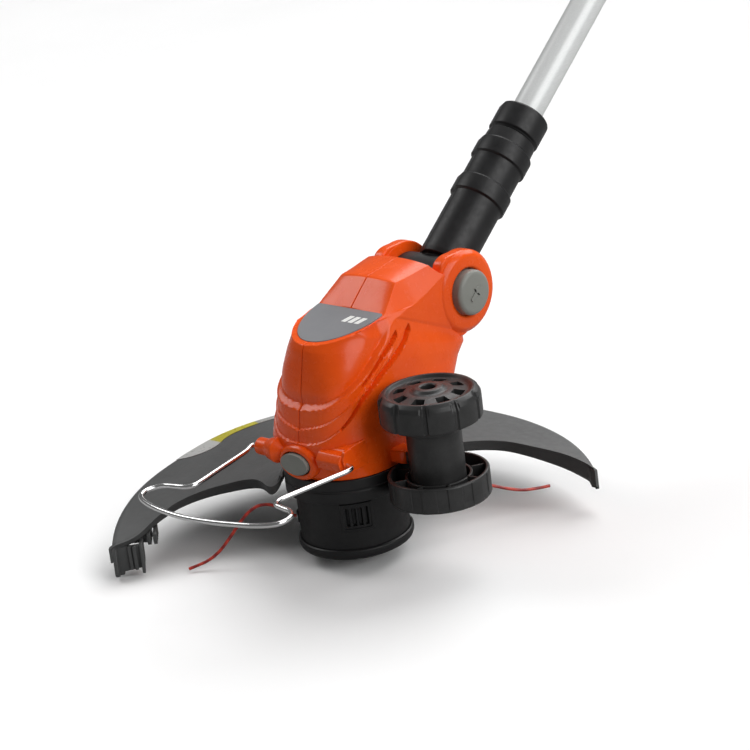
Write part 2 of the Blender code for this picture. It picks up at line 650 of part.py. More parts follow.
def cutting_line(name, route, azimuth, spool):
    """Free end of the nylon line: a tube on a smooth curve. The route is (radius, sideways
    turn in degrees, height) in the vertical plane of its eyelet."""
    corners = []
    for radius, aside, height in route:
        angle = math.radians(azimuth + aside)
        corners.append((radius * math.cos(angle), radius * math.sin(angle), height))
    places = smooth_path(corners, 28)
    curve = bpy.data.curves.new(name, 'CURVE')
    curve.dimensions = '3D'
    curve.bevel_depth = LINE_RADIUS * MM
    curve.bevel_resolution = 2
    curve.use_fill_caps = True
    spline = curve.splines.new('POLY')
    spline.points.add(len(places) - 1)
    for point, position in zip(spline.points, places):
        point.co = (*(position * MM), 1.0)
    curve.materials.append(material("red_line"))
    made = bpy.data.objects.new(name, curve)
    bpy.context.collection.objects.link(made)
    made.parent = spool


def build_shaft(shaft, sleeve, tube):
    """Sleeve on the tilt joint, the sliding lower tube and the fixed upper tube."""
    sleeve_body = turned("shaft_sleeve",
                         ((0.0, 0.0), (SLEEVE_RADIUS, 0.0), (SLEEVE_RADIUS, 74.0), (21.2, 76.0),
                          (21.2, 88.0), (SLEEVE_RADIUS, 90.0), (SLEEVE_RADIUS, 104.0),
                          (21.2, 106.0), (21.2, 118.0), (SLEEVE_RADIUS, 120.0),
                          (18.4, 124.0), (18.4, SLEEVE_END), (0.0, SLEEVE_END)), "black", 28,
                         parent=sleeve)
    cut(sleeve_body, rod("sleeve_bore", LOWER_TUBE_RADIUS + GAP, 60.0, 160.0, tool=True,
                         segments=28, parent=sleeve))
    fuse(sleeve_body, rod("barrel", BARREL_RADIUS, -24.9, 24.9, tool=True, segments=28,
                          rotation=along_x(1), parent=sleeve))
    for side in (-1, 1):
        fuse(sleeve_body, rod("trunnion_%d" % side, TRUNNION_RADIUS, 20.0, 29.6, tool=True,
                              segments=20, rotation=along_x(side), parent=sleeve))
    ring("sleeve_collar", LOWER_TUBE_RADIUS + GAP, 19.2, SLEEVE_END + 0.3, 146.0, "black", 28,
         parent=sleeve)
    low, high = LOWER_TUBE
    ring("lower_tube", LOWER_TUBE_RADIUS - 1.3, LOWER_TUBE_RADIUS, low, high, "aluminium", 28,
         parent=tube)
    low, high = UPPER_TUBE
    ring("upper_tube", LOWER_TUBE_RADIUS + GAP, UPPER_TUBE_RADIUS, low, high, "aluminium", 28,
         parent=shaft)


def build_clamp(shaft, lever_frame):
    """Split clamp that locks the telescoping tubes, with a side lever."""
    low, high = CLAMP
    step_at = UPPER_TUBE[0] - 0.4
    inner, outer = LOWER_TUBE_RADIUS + GAP, UPPER_TUBE_RADIUS + GAP
    clamp = turned("tube_clamp", ((inner, low), (19.0, low), (20.6, low + 3.0),
                                  (20.6, high - 3.0), (19.4, high), (outer, high),
                                  (outer, step_at), (inner, step_at)), "black", 28, parent=shaft)
    fuse(clamp, block("clamp_lugs", (-8.6, -30.0, 524.0), (8.6, -17.6, 546.0), tool=True,
                      parent=shaft))
    cut(clamp, block("clamp_slot", (-1.2, -40.0, 500.0), (1.2, 0.0, 565.0), tool=True,
                     parent=shaft))
    bolt_spot = {"location": (0.0, -25.0, 535.0), "parent": shaft}
    cut(clamp, rod("clamp_bore", 3.0, -30.0, 30.0, tool=True, segments=12,
                   rotation=along_x(1), **bolt_spot))
    turned("clamp_bolt", ((0.0, -12.0), (4.6, -12.0), (4.6, -8.9), (2.6, -8.9), (2.6, 15.0),
                          (0.0, 15.0)), "steel", 12, rotation=along_x(1), **bolt_spot)
    foot = [(6.0 * math.cos(math.pi * (1.0 + step / 8.0)), 6.0 * math.sin(math.pi * (1.0 + step / 8.0)))
            for step in range(9)]
    lever = prism("clamp_lever", foot + [(4.0, 12.0), (2.0, 44.0), (-5.0, 44.0)], 9.2, 15.2, "black",
                  parent=lever_frame, rotation=(math.pi / 2.0, 0.0, math.pi / 2.0))
    cut(lever, rod("lever_bore", 2.9, 0.0, 30.0, tool=True, segments=12, rotation=along_x(1),
                   parent=lever_frame))


def build_aux_handle(shaft, loop):
    """Front handle: a bracket round the upper tube and a tilting D-shaped loop."""
    low, high = AUX_POSITION - 17.0, AUX_POSITION + 17.0
    bracket = turned("aux_bracket", ((UPPER_TUBE_RADIUS + GAP, low), (20.0, low), (21.6, low + 2),
                                     (21.6, high - 2), (20.0, high),
                                     (UPPER_TUBE_RADIUS + GAP, high)), "black", 28, parent=shaft)
    fuse(bracket, block("bracket_lugs", (-19.0, -40.0, AUX_POSITION - 8.0),
                        (19.0, -17.0, AUX_POSITION + 8.0), tool=True, parent=shaft))
    cut(bracket, block("bracket_slot", (-12.4, -60.0, AUX_POSITION - 20.0),
                       (12.4, -23.0, AUX_POSITION + 20.0), tool=True, parent=shaft))
    bolt_spot = {"location": (0.0, -33.0, AUX_POSITION), "parent": shaft}
    cut(bracket, rod("bracket_bore", 3.4, -40.0, 40.0, tool=True, segments=12,
                     rotation=along_x(1), **bolt_spot))
    turned("aux_bolt", ((0.0, -24.0), (6.0, -24.0), (6.0, -19.4), (3.0, -19.4), (3.0, 23.0),
                        (0.0, 23.0)), "steel", 12, rotation=along_x(1), **bolt_spot)
    knob = [((12.0 if step % 4 < 2 else 10.4) * math.cos(math.pi * step / 12),
             (12.0 if step % 4 < 2 else 10.4) * math.sin(math.pi * step / 12))
            for step in range(24)]
    wing = prism("aux_knob", knob, 19.4, 31.0, "black", rotation=along_x(1), **bolt_spot)
    cut(wing, rod("knob_bore", 3.3, 0.0, 26.0, tool=True, segments=12, rotation=along_x(1),
                  **bolt_spot))
    half = ((34.0, 32.0), (62.0, 48.0), (72.0, 76.0), (66.0, 108.0), (44.0, 128.0))
    route = ([(0.0, 0.0, 30.0)] + [(x, 0.0, z) for x, z in half] + [(0.0, 0.0, 134.0)]
             + [(-x, 0.0, z) for x, z in reversed(half)])
    handle = swept("aux_handle", smooth_path(route, 32, closed=True), 8.0, 8, "black",
                   closed=True, parent=loop)
    fuse(handle, block("handle_neck", (-11.0, -6.5, 2.0), (11.0, 6.5, 31.0), tool=True,
                       parent=loop))
    fuse(handle, rod("handle_root", 9.0, -12.0, 12.0, tool=True, rotation=along_x(1),
                     parent=loop))
    cut(handle, rod("root_bore", 3.4, -20.0, 20.0, tool=True, segments=12, rotation=along_x(1),
                    parent=loop))


def build_rear_handle(shaft):
    """Rear handle halves with the switch, board and battery terminals inside."""
    left = half_shell("handle_left", HANDLE_STATIONS, -1, SHELL_WALL, False, "orange", shaft)
    right = half_shell("handle_right", HANDLE_STATIONS, 1, SHELL_WALL, False, "orange", shaft)
    for half, tag in ((left, "l"), (right, "r")):
        cut(half, block("trigger_slot_" + tag, (-6.6, 12.0, 943.0), (6.6, 40.0, 992.0), tool=True,
                        parent=shaft))
    for number, spot in enumerate(HANDLE_SCREWS, 1):
        screw_in_posts("handle_screw_%d" % number, left, right, spot, shaft)
    cut(right, rod("lock_hole", 6.4, 10.0, 30.0, tool=True, segments=24,
                   location=(0.0, -3.0, 934.0), rotation=along_x(1), parent=shaft))
    block("power_switch", (-7.0, -4.0, 1000.0), (7.0, 12.0, 1030.0), "black", parent=shaft)
    block("control_board", (-24.0, -18.0, 1088.0), (24.0, -16.4, 1114.0), "board", parent=shaft)
    block("battery_terminals", (-14.0, 4.0, 1090.0), (14.0, 22.0, 1114.0), "brass", parent=shaft)


def build_rear_movers(trigger, lock, battery, latch):
    """Trigger, lock-off button, battery and its release key."""
    # outline (s, y) from the trigger's pivot
    outline = ((2.0, -4.0), (4.0, 0.0), (2.0, 4.0), (-9.0, 22.0), (-16.0, 25.5), (-34.0, 24.5),
               (-41.5, 16.0), (-42.5, 10.0), (-38.0, 6.0), (-8.0, -3.0))
    prism("trigger", [(y, s) for s, y in outline], -6.0, 6.0, "black", parent=trigger,
          rotation=(math.pi / 2.0, 0.0, math.pi / 2.0))
    turned("lock_off_button", ((0.0, 11.0), (6.0, 11.0), (6.0, 22.4), (5.0, 23.4), (0.0, 23.4)),
           "black", 16, parent=lock, rotation=along_x(1))
    low, high = BATTERY
    case = block("battery_case", (-36.0, -36.0, 0.3), (36.0, 54.0, high - low), "black", 5.0,
                 parent=battery)
    cut(case, block("battery_room", (-32.0, -28.0, -5.0), (32.0, 50.0, high - low - 3.0),
                    tool=True, parent=battery))
    cut(case, block("latch_room", (-15.4, -60.0, 40.0), (15.4, -20.0, 60.4), tool=True,
                    parent=battery))
    block("battery_cells", (-30.0, -17.0, 3.0), (30.0, 48.0, high - low - 5.0), "dark_grey",
          parent=battery)
    block("battery_latch", (-15.0, -39.0, 40.4), (15.0, -25.0, 60.0), "grey", 1.5, parent=latch)


def build():
    for stale in list(bpy.data.objects):
        bpy.data.objects.remove(stale, do_unlink=True)

    lean = SHAFT_ANGLE - math.pi / 2.0
    pivot = (0.0, PIVOT_Y, PIVOT_Z)

    def on_shaft(name, y, s, upright=False):
        """Empty at (y, s) of the shaft's frame, turned with it or left upright."""
        place_y = PIVOT_Y + s * math.cos(SHAFT_ANGLE) + y * math.sin(SHAFT_ANGLE)
        place_z = PIVOT_Z + s * math.sin(SHAFT_ANGLE) - y * math.cos(SHAFT_ANGLE)
        return empty(name, (0.0, place_y, place_z), (0.0 if upright else lean, 0.0, 0.0))

    head = empty("head_frame", (0.0, 0.0, 0.0))
    build_head(head)
    build_head_movers(head)
    spool = empty("spool_frame", (0.0, 0.0, 0.0))
    build_spool(spool)
    build_bobbin(spool)
    cutting_line("cutting_line_left",
                 ((36.2, 0.0, 34.0), (44.5, 0.0, 34.6), (50.0, 0.0, 39.0), (56.0, 0.0, 43.4),
                  (63.0, 0.0, 46.0), (70.0, 0.0, 46.2), (76.5, 0.0, 43.4), (82.0, 0.0, 38.8),
                  (89.0, 0.0, 31.0), (97.0, 0.0, 21.5), (105.0, 0.0, 13.2), (115.0, 0.0, 6.8),
                  (129.5, 0.0, 2.2)), EYELET_AZIMUTHS[0], spool)
    cutting_line("cutting_line_right",
                 ((36.2, 0.0, 34.0), (44.5, 0.0, 34.2), (58.0, 2.0, 36.5), (75.0, 5.0, 38.0),
                  (92.0, 7.4, 36.4), (105.0, 8.0, 32.6), (120.0, 8.4, 26.4), (132.0, 9.2, 22.4),
                  (144.0, 10.2, 20.6), (153.0, 10.6, 20.2)), EYELET_AZIMUTHS[1], spool)

    shaft = empty("shaft_frame", pivot, (lean, 0.0, 0.0))
    sleeve = empty("sleeve_frame", pivot, (lean, 0.0, 0.0))
    tube = empty("tube_frame", pivot, (lean, 0.0, 0.0))
    build_shaft(shaft, sleeve, tube)
    build_clamp(shaft, on_shaft("lever_frame", -25.0, 535.0))
    build_aux_handle(shaft, on_shaft("loop_frame", -33.0, AUX_POSITION, upright=True))
    build_rear_handle(shaft)
    build_rear_movers(on_shaft("trigger_frame", *TRIGGER_PIVOT),
                      on_shaft("lock_frame", -3.0, 934.0),
                      on_shaft("battery_frame", 0.0, BATTERY[0]),
                      on_shaft("latch_frame", 0.0, BATTERY[0]))


build()
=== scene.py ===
import math
import bpy
import numpy as np
from mathutils import Matrix, Vector


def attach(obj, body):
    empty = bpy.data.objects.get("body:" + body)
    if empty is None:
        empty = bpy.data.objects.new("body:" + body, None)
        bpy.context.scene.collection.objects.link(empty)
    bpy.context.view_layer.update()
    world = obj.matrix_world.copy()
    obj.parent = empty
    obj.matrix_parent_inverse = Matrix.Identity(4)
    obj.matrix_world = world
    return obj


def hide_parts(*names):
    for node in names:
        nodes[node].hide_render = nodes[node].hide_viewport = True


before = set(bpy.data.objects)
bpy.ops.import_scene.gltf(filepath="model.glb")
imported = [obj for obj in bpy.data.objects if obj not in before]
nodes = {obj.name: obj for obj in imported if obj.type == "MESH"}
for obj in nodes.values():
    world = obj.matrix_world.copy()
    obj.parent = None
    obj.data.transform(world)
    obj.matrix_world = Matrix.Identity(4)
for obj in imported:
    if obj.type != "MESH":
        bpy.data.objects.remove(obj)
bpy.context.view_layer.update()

mm = 0.001

pivot = np.array((0.0, 113.0, 175.0))            # tilt joint between head and shaft
shaftTilt = math.radians(37.7)
shaftWay = np.array((0.0, math.cos(shaftTilt), math.sin(shaftTilt)))
wheelSpot = np.array((85.5, 7.7, 0.0))
wirePivot = (-46.0, 95.0)                        # y and z of the wire guard's hinge
seam = 0.15                                      # half the gap between two halves of a casing
acrossTool = ((1, 0, 0), (0, 1, 0))              # put: local z along the tool's x, local x along y


def unit(vector):
    vector = np.asarray(vector, float)
    return vector / np.linalg.norm(vector, axis=-1, keepdims=True)


def smoothStep(low, high, at):
    # 0 below low, 1 above high, 3t^2 - 2t^3 between
    t = np.clip((at - low) / (high - low), 0.0, 1.0)
    return t * t * (3.0 - 2.0 * t)


def flowing(knots, at):
    # cubic through the given knots, each knot's slope the mean of its neighbours' slopes
    x, y = np.array(knots, float).T
    step = np.diff(x)
    rise = np.diff(y) / step
    slope = np.concatenate((rise[:1], (rise[:-1] + rise[1:]) / 2.0, rise[-1:]))
    i = np.clip(np.searchsorted(x, at) - 1, 0, len(step) - 1)
    t = np.clip((at - x[i]) / step[i], 0.0, 1.0)
    start = (2 * t**3 - 3 * t**2 + 1) * y[i] + (t**3 - 2 * t**2 + t) * step[i] * slope[i]
    return start + (3 * t**2 - 2 * t**3) * y[i + 1] + (t**3 - t**2) * step[i] * slope[i + 1]


def rounded(corners, radius, steps=5, shut=False):
    # every corner gives way to a parabola that begins and ends radius away from it
    corners = np.array(corners, float)
    count = len(corners)
    path = []
    for k in range(count):
        if not shut and k in (0, count - 1):
            path.append(corners[k:k + 1])
            continue
        back = corners[k - 1] - corners[k]
        onward = corners[(k + 1) % count] - corners[k]
        room = min(radius, 0.45 * np.linalg.norm(back), 0.45 * np.linalg.norm(onward))
        t = np.linspace(0.0, 1.0, steps)[:, None]
        start = corners[k] + unit(back) * room
        end = corners[k] + unit(onward) * room
        path.append((1 - t)**2 * start + 2 * t * (1 - t) * corners[k] + t**2 * end)
    return np.concatenate(path)


def lattice(grid, around=True, ends=True):
    # grid[row, column] joined by quads; columns meet when around, each end row shut by a fan
    rows, columns = grid.shape[:2]
    points = grid.reshape(-1, 3)
    index = np.arange(rows * columns).reshape(rows, columns)
    wide = np.concatenate((index, index[:, :1]), 1) if around else index
    quads = np.stack((wide[:-1, :-1], wide[:-1, 1:], wide[1:, 1:], wide[1:, :-1]), -1)
    faces = [quads.reshape(-1, 4)]
    if ends:
        for row, way in ((0, -1), (rows - 1, 1)):
            hub = np.full(columns, len(points))
            points = np.concatenate((points, grid[row].mean(0)[None]))
            edge = index[row][::way]
            faces.append(np.stack((edge, np.roll(edge, -1), hub), -1))
    return points, faces


def torus(grid):
    # a lattice whose last row also meets its first
    return lattice(np.concatenate((grid, grid[:1])), ends=False)


def put(shape, origin=(0, 0, 0), along=(0, 0, 1), across=(1, 0, 0)):
    # local z runs along `along`, local x across it, and the whole moves to origin
    z = unit(along)
    x = unit(np.asarray(across, float) - np.dot(across, z) * z)
    turn = np.array((x, np.cross(z, x), z))
    points, faces = shape
    return points @ turn + np.asarray(origin, float), faces


def onShaft(shape):
    # local z runs up the shaft from the tilt joint
    return put(shape, pivot, shaftWay)


def turned(profile, around=96, bend=0.8, swell=None):
    # (radius, height) pairs, corners rounded, spun about z; swell adds to radius and height
    # by angle; a profile that starts and ends off the axis is a ring if its ends meet
    profile = np.array(profile, float)
    ring = np.allclose(profile[0], profile[-1])
    line = rounded(profile[:-1] if ring else profile, bend, shut=ring)
    angle = np.linspace(0.0, 2.0 * math.pi, around, endpoint=False)[None, :]
    radius = line[:, :1] + 0.0 * angle
    height = line[:, 1:] + 0.0 * angle
    if swell:
        radius, height = swell(radius, height, angle)
    grid = np.stack((radius * np.cos(angle), radius * np.sin(angle), height), -1)
    return torus(grid) if ring else lattice(grid)


def oval(halfWide, halfHigh, power=2.0, count=72):
    # |x/a|^n + |y/b|^n = 1
    angle = np.linspace(0.0, 2.0 * math.pi, count, endpoint=False)
    c, s = np.cos(angle), np.sin(angle)
    return np.stack((halfWide * np.sign(c) * np.abs(c)**(2.0 / power),
                     halfHigh * np.sign(s) * np.abs(s)**(2.0 / power)), -1)


def carried(outline, profile, shut=False, bend=0.8):
    # every (out, up) pair of the profile moves the flat outline out along its normals and up
    ahead = np.roll(outline, -1, 0) - np.roll(outline, 1, 0)
    area = np.sum(outline[:, 0] * np.roll(outline[:, 1], -1) - outline[:, 1] * np.roll(outline[:, 0], -1))
    out = unit(np.stack((ahead[:, 1], -ahead[:, 0]), -1)) * np.sign(area)
    line = rounded(profile, bend, shut=shut)
    flat = outline[None] + line[:, :1, None] * out[None]
    grid = np.concatenate((flat, np.broadcast_to(line[:, 1:, None], flat.shape[:2] + (1,))), -1)
    return torus(grid) if shut else lattice(grid)


def slab(outline, low, high, edge=0.8):
    # outline carried up from low to high, with its two rims rounded by edge
    return carried(outline, ((-edge * 1.6, low), (0, low), (0, high), (-edge * 1.6, high)), bend=edge)


def piped(path, radius, up, sides):
    # a circle carried along the path; one of its axes stays square to `up`
    path = np.array(path, float)
    way = unit(np.gradient(path, axis=0))
    side = unit(np.cross(way, up))
    top = np.cross(side, way)
    angle = np.linspace(0.0, 2.0 * math.pi, sides, endpoint=False)
    radius = np.broadcast_to(np.asarray(radius, float), (len(path),))[:, None, None]
    c, s = np.cos(angle)[None, :, None], np.sin(angle)[None, :, None]
    return path[:, None] + radius * (side[:, None] * c + top[:, None] * s)


def throughPoints(points, count):
    # Catmull-Rom curve through the given points, sampled evenly by point number
    points = np.array(points, float)
    spans = len(points) - 1
    line = np.concatenate((2 * points[:1] - points[1:2], points, 2 * points[-1:] - points[-2:-1]))
    t = np.linspace(0.0, spans, count)
    i = np.clip(t.astype(int), 0, spans - 1)
    f = (t - i)[:, None]
    a, b, c, d = (line[i + k] for k in range(4))
    curve = 2 * b + (c - a) * f + (2 * a - 5 * b + 4 * c - d) * f**2 + (3 * b - a - 3 * c + d) * f**3
    return 0.5 * curve


def volumeOf(points, faces):
    # divergence theorem over every face's fan of triangles
    total = 0.0
    for group in faces:
        corner = points[group]
        for k in range(1, group.shape[1] - 1):
            total += np.sum(corner[:, 0] * np.cross(corner[:, k], corner[:, k + 1]))
    return total


def intoScene(name, data):
    made = bpy.data.objects.new(name, data)
    bpy.context.scene.collection.objects.link(made)
    return made


def piece(name, shapes, finish, body, stands=(), sharp=34.0):
    # closed shapes joined into one object, each turned to face outwards by the sign of its volume
    allPoints, allFaces, start = [], [], 0
    for points, faces in shapes:
        inward = volumeOf(points, faces) < 0
        for group in faces:
            allFaces += ((group[:, ::-1] if inward else group) + start).tolist()
        allPoints.append(points)
        start += len(points)
    mesh = bpy.data.meshes.new(name)
    mesh.from_pydata((np.concatenate(allPoints) * mm).tolist(), [], allFaces)
    mesh.materials.append(finish)
    thing = intoScene(name, mesh)
    mesh.shade_smooth()
    mesh.set_sharp_from_angle(angle=math.radians(sharp))
    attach(thing, body)
    if stands:
        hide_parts(*stands)
    return thing


def linear(code):
    # sRGB hex to linear light
    parts = [int(code[k:k + 2], 16) / 255.0 for k in (1, 3, 5)]
    return tuple(p / 12.92 if p <= 0.04045 else ((p + 0.055) / 1.055)**2.4 for p in parts) + (1.0,)


def addNode(tree, kind, settings=None, links=None):
    made = tree.nodes.new(kind)
    for key, value in (settings or {}).items():
        if isinstance(key, int) or key in made.inputs:
            made.inputs[key].default_value = value
        else:
            setattr(made, key, value)
    for key, source in (links or {}).items():
        tree.links.new(source, made.inputs[key])
    return made


def plainShader(name):
    made = bpy.data.materials.new(name)
    made.use_nodes = True
    shader = made.node_tree.nodes["Principled BSDF"]
    place = addNode(made.node_tree, "ShaderNodeTexCoord").outputs["Object"]
    return made, made.node_tree, shader, place


def ramp(tree, source, stops):
    made = addNode(tree, "ShaderNodeValToRGB", links={0: source})
    while len(made.color_ramp.elements) < len(stops):
        made.color_ramp.elements.new(0.5)
    for element, (at, colour) in zip(made.color_ramp.elements, stops):
        element.position = at
        element.color = linear(colour) if isinstance(colour, str) else (colour, colour, colour, 1.0)
    return made.outputs[0]


def feed(tree, shader, socket, source, stops):
    tree.links.new(ramp(tree, source, stops), shader.inputs[socket])


def bandScale(pitchMm):
    # a wave texture's bands along one axis repeat every pi / 10 of its coordinate
    return math.pi / 10.0 / (pitchMm * mm)


def grain(tree, place, sizeMm, detail=3.0, rough=0.55):
    # noise whose features are about sizeMm across
    settings = {"Scale": 1.0 / (sizeMm * mm), "Detail": detail, "Roughness": rough}
    return addNode(tree, "ShaderNodeTexNoise", settings, {"Vector": place}).outputs[0]


def raised(tree, shader, height, depthMm, strength=1.0):
    settings = {"Strength": strength, "Distance": depthMm * mm}
    bump = addNode(tree, "ShaderNodeBump", settings, {"Height": height})
    tree.links.new(bump.outputs[0], shader.inputs["Normal"])


def glossyAbs(name, light, dark, roughness=(0.20, 0.30), coat=0.25, specular=0.5):
    # ABS, injection moulded in a polished tool: even pigment with slow flow shading, long soft
    # waves that bend its reflections, and a little haze from handling
    made, tree, shader, place = plainShader(name)
    flow = grain(tree, place, 38.0, 2.0)
    feed(tree, shader, "Base Color", flow, ((0.30, dark), (0.70, light)))
    haze = grain(tree, place, 9.0, 4.0, 0.6)
    feed(tree, shader, "Roughness", haze, ((0.35, roughness[0]), (0.75, roughness[1])))
    raised(tree, shader, grain(tree, place, 16.0, 0.0), 0.05)
    shader.inputs["IOR"].default_value = 1.53
    shader.inputs["Specular IOR Level"].default_value = specular
    shader.inputs["Coat Weight"].default_value = coat
    shader.inputs["Coat Roughness"].default_value = 0.08
    return made


def sparkedNylon(name, light, dark, roughness=(0.38, 0.52)):
    # glass-filled nylon from a spark-eroded tool: a fine pebbled grain (drawn about three times
    # coarser than the real 0.3 mm so it shows) and a mottled sheen
    gritMm = 0.9
    made, tree, shader, place = plainShader(name)
    mottle = grain(tree, place, 14.0, 4.0, 0.6)
    feed(tree, shader, "Base Color", mottle, ((0.30, dark), (0.72, light)))
    sheen = grain(tree, place, 4.0, 3.0)
    feed(tree, shader, "Roughness", sheen, ((0.30, roughness[0]), (0.75, roughness[1])))
    pebble = addNode(tree, "ShaderNodeTexVoronoi", {"Scale": 1.0 / (gritMm * mm), "feature": "SMOOTH_F1"},
                     {"Vector": place})
    raised(tree, shader, pebble.outputs["Distance"], 0.05, 0.45)
    shader.inputs["IOR"].default_value = 1.53
    shader.inputs["Specular IOR Level"].default_value = 0.34
    return made


def mouldedPolypropylene(name, light, dark):
    # polypropylene sheet moulding: waxy, matt, with long flow marks and a leathery grain
    made, tree, shader, place = plainShader(name)
    stretched = addNode(tree, "ShaderNodeMapping", {"Scale": (1.0, 1.0, 3.0)}, {"Vector": place}).outputs[0]
    flow = grain(tree, stretched, 46.0, 5.0, 0.6)
    feed(tree, shader, "Base Color", flow, ((0.28, dark), (0.72, light)))
    feed(tree, shader, "Roughness", grain(tree, place, 6.0), ((0.3, 0.42), (0.75, 0.56)))
    raised(tree, shader, grain(tree, place, 1.1, 3.0), 0.06, 0.5)
    shader.inputs["IOR"].default_value = 1.49
    return made


def platedSteel(name, colour, roughness=0.16, drawn=(1.0, 1.0, 1.0)):
    # zinc-nickel plated wire or turned steel: bright, with fine drawing lines and soft clouding
    made, tree, shader, place = plainShader(name)
    lines = addNode(tree, "ShaderNodeMapping", {"Scale": drawn}, {"Vector": place}).outputs[0]
    cloud = grain(tree, place, 7.0, 4.0, 0.6)
    feed(tree, shader, "Roughness", cloud, ((0.3, roughness), (0.8, roughness + 0.14)))
    shader.inputs["Base Color"].default_value = linear(colour)
    shader.inputs["Metallic"].default_value = 1.0
    raised(tree, shader, grain(tree, lines, 1.2, 2.0), 0.02, 0.5)
    return made


def satinAluminium(name):
    # aluminium tube, silver anodised over a brushed finish, with hairlines along the tube; shaded
    # almost as a pale paint, because a true metal went dark where the studio leaves it no light
    made, tree, shader, place = plainShader(name)
    turn = addNode(tree, "ShaderNodeMapping", {"Rotation": (shaftTilt, 0.0, 0.0), "Scale": (12.0, 1.0, 12.0)})
    tree.links.new(place, turn.inputs["Vector"])
    hair = grain(tree, turn.outputs[0], 9.0, 5.0, 0.7)
    feed(tree, shader, "Base Color", hair, ((0.3, "#dcdedd"), (0.7, "#e9ebea")))
    feed(tree, shader, "Roughness", hair, ((0.3, 0.30), (0.8, 0.42)))
    shader.inputs["Metallic"].default_value = 0.12
    raised(tree, shader, hair, 0.01, 0.4)
    return made


def twistedLine(name):
    # nylon monofilament, extruded and twisted: translucent red, with slanting bands some 8 mm
    # apart, far coarser than the real twist: a raised relief, and a painted sheen of darker and lighter red
    # that breaks its highlight up
    made, tree, shader, place = plainShader(name)
    twistReliefAndSheen = addNode(tree, "ShaderNodeTexWave", {"Scale": bandScale(7.891), "Distortion": 2.0,
                                                "bands_direction": "DIAGONAL"}, {"Vector": place})
    # painted sheen: the same bands make the base colour darker and lighter red, standing in for the twist's
    # light and shade
    feed(tree, shader, "Base Color", twistReliefAndSheen.outputs["Fac"], ((0.1, "#8e2320"), (0.9, "#c23d2c")))
    feed(tree, shader, "Roughness", grain(tree, place, 3.0), ((0.3, 0.28), (0.7, 0.42)))
    raised(tree, shader, twistReliefAndSheen.outputs["Fac"], 0.12, 0.6)
    shader.inputs["Subsurface Weight"].default_value = 0.25
    shader.inputs["Subsurface Radius"].default_value = (0.002, 0.0005, 0.0003)
    return made


def ribbedRubber(name):
    # thermoplastic elastomer overmould: soft, matt, with grip lines 6.3 mm apart across the hand
    made, tree, shader, place = plainShader(name)
    turn = addNode(tree, "ShaderNodeMapping", {"Rotation": (shaftTilt, 0.0, 0.0)}, {"Vector": place})
    ribs = addNode(tree, "ShaderNodeTexWave", {"Scale": bandScale(6.3133), "bands_direction": "Y"},
                   {"Vector": turn.outputs[0]})
    feed(tree, shader, "Base Color", grain(tree, place, 6.0, 4.0), ((0.3, "#161617"), (0.7, "#222223")))
    feed(tree, shader, "Roughness", grain(tree, place, 2.0), ((0.3, 0.62), (0.7, 0.80)))
    raised(tree, shader, ribs.outputs["Fac"], 0.35, 0.8)
    shader.inputs["Sheen Weight"].default_value = 0.15
    return made


def printedLabel(name):
    # polyester label: a blank pale field with one yellow length, no lettering
    made, tree, shader, place = plainShader(name)
    band = addNode(tree, "ShaderNodeAttribute", {"attribute_name": "labelBand"}).outputs["Fac"]
    stops = ((0.0, "#b4b5b3"), (0.325, "#bdbebb"), (0.34, "#b9b02c"), (0.72, "#c6bd33"), (0.735, "#a9aaa7"),
             (1.0, "#b3b4b1"))
    feed(tree, shader, "Base Color", band, stops)
    feed(tree, shader, "Roughness", grain(tree, place, 5.0), ((0.3, 0.25), (0.7, 0.36)))
    shader.inputs["Coat Weight"].default_value = 0.3
    return made


def boardLaminate(name):
    # glass-epoxy board under green solder mask, copper runs showing as paler lines
    made, tree, shader, place = plainShader(name)
    tracks = addNode(tree, "ShaderNodeTexBrick", {"Scale": 160.0, "Color1": linear("#0d4a24"),
                                                  "Color2": linear("#0f5529"), "Mortar": linear("#1c7a3f"),
                                                  "Mortar Size": 0.03}, {"Vector": place})
    tree.links.new(tracks.outputs["Color"], shader.inputs["Base Color"])
    feed(tree, shader, "Roughness", grain(tree, place, 4.0), ((0.3, 0.28), (0.7, 0.45)))
    return made


orange = glossyAbs("glossy ABS moulded orange", "#f55a12", "#ef520e", (0.22, 0.32), 0.10, 0.26)
greyAbs = glossyAbs("satin ABS moulded grey", "#868689", "#7e7f82", (0.34, 0.44), 0.05, 0.3)
buttonGrey = glossyAbs("satin ABS moulded warm grey", "#8b8c86", "#83847e", (0.36, 0.46), 0.05, 0.3)
whiteMark = glossyAbs("pad printed white ink", "#f2f2f0", "#e9e9e6", (0.40, 0.50), 0.0)
nylon = sparkedNylon("glass-filled nylon moulded black", "#1d1d1e", "#141415")
wheelNylon = sparkedNylon("glass-filled nylon moulded dark grey", "#343434", "#282828", (0.34, 0.46))
guardPlastic = mouldedPolypropylene("polypropylene moulded charcoal", "#4f5050", "#454646")
wireSteel = platedSteel("steel wire zinc plated", "#dedede", 0.12)
screwSteel = platedSteel("steel turned and plated", "#b9babc", 0.22)
motorSteel = platedSteel("steel drawn motor can", "#a8aaac", 0.30, (1.0, 1.0, 8.0))
brass = platedSteel("brass stamped contacts", "#c9a24e", 0.25)
tubeMetal = satinAluminium("aluminium tube silver anodised")
lineNylon = twistedLine("nylon monofilament twisted red")
rubber = ribbedRubber("elastomer overmoulded black")
label = printedLabel("polyester label blank")
board = boardLaminate("glass-epoxy circuit board")
print("materials made")


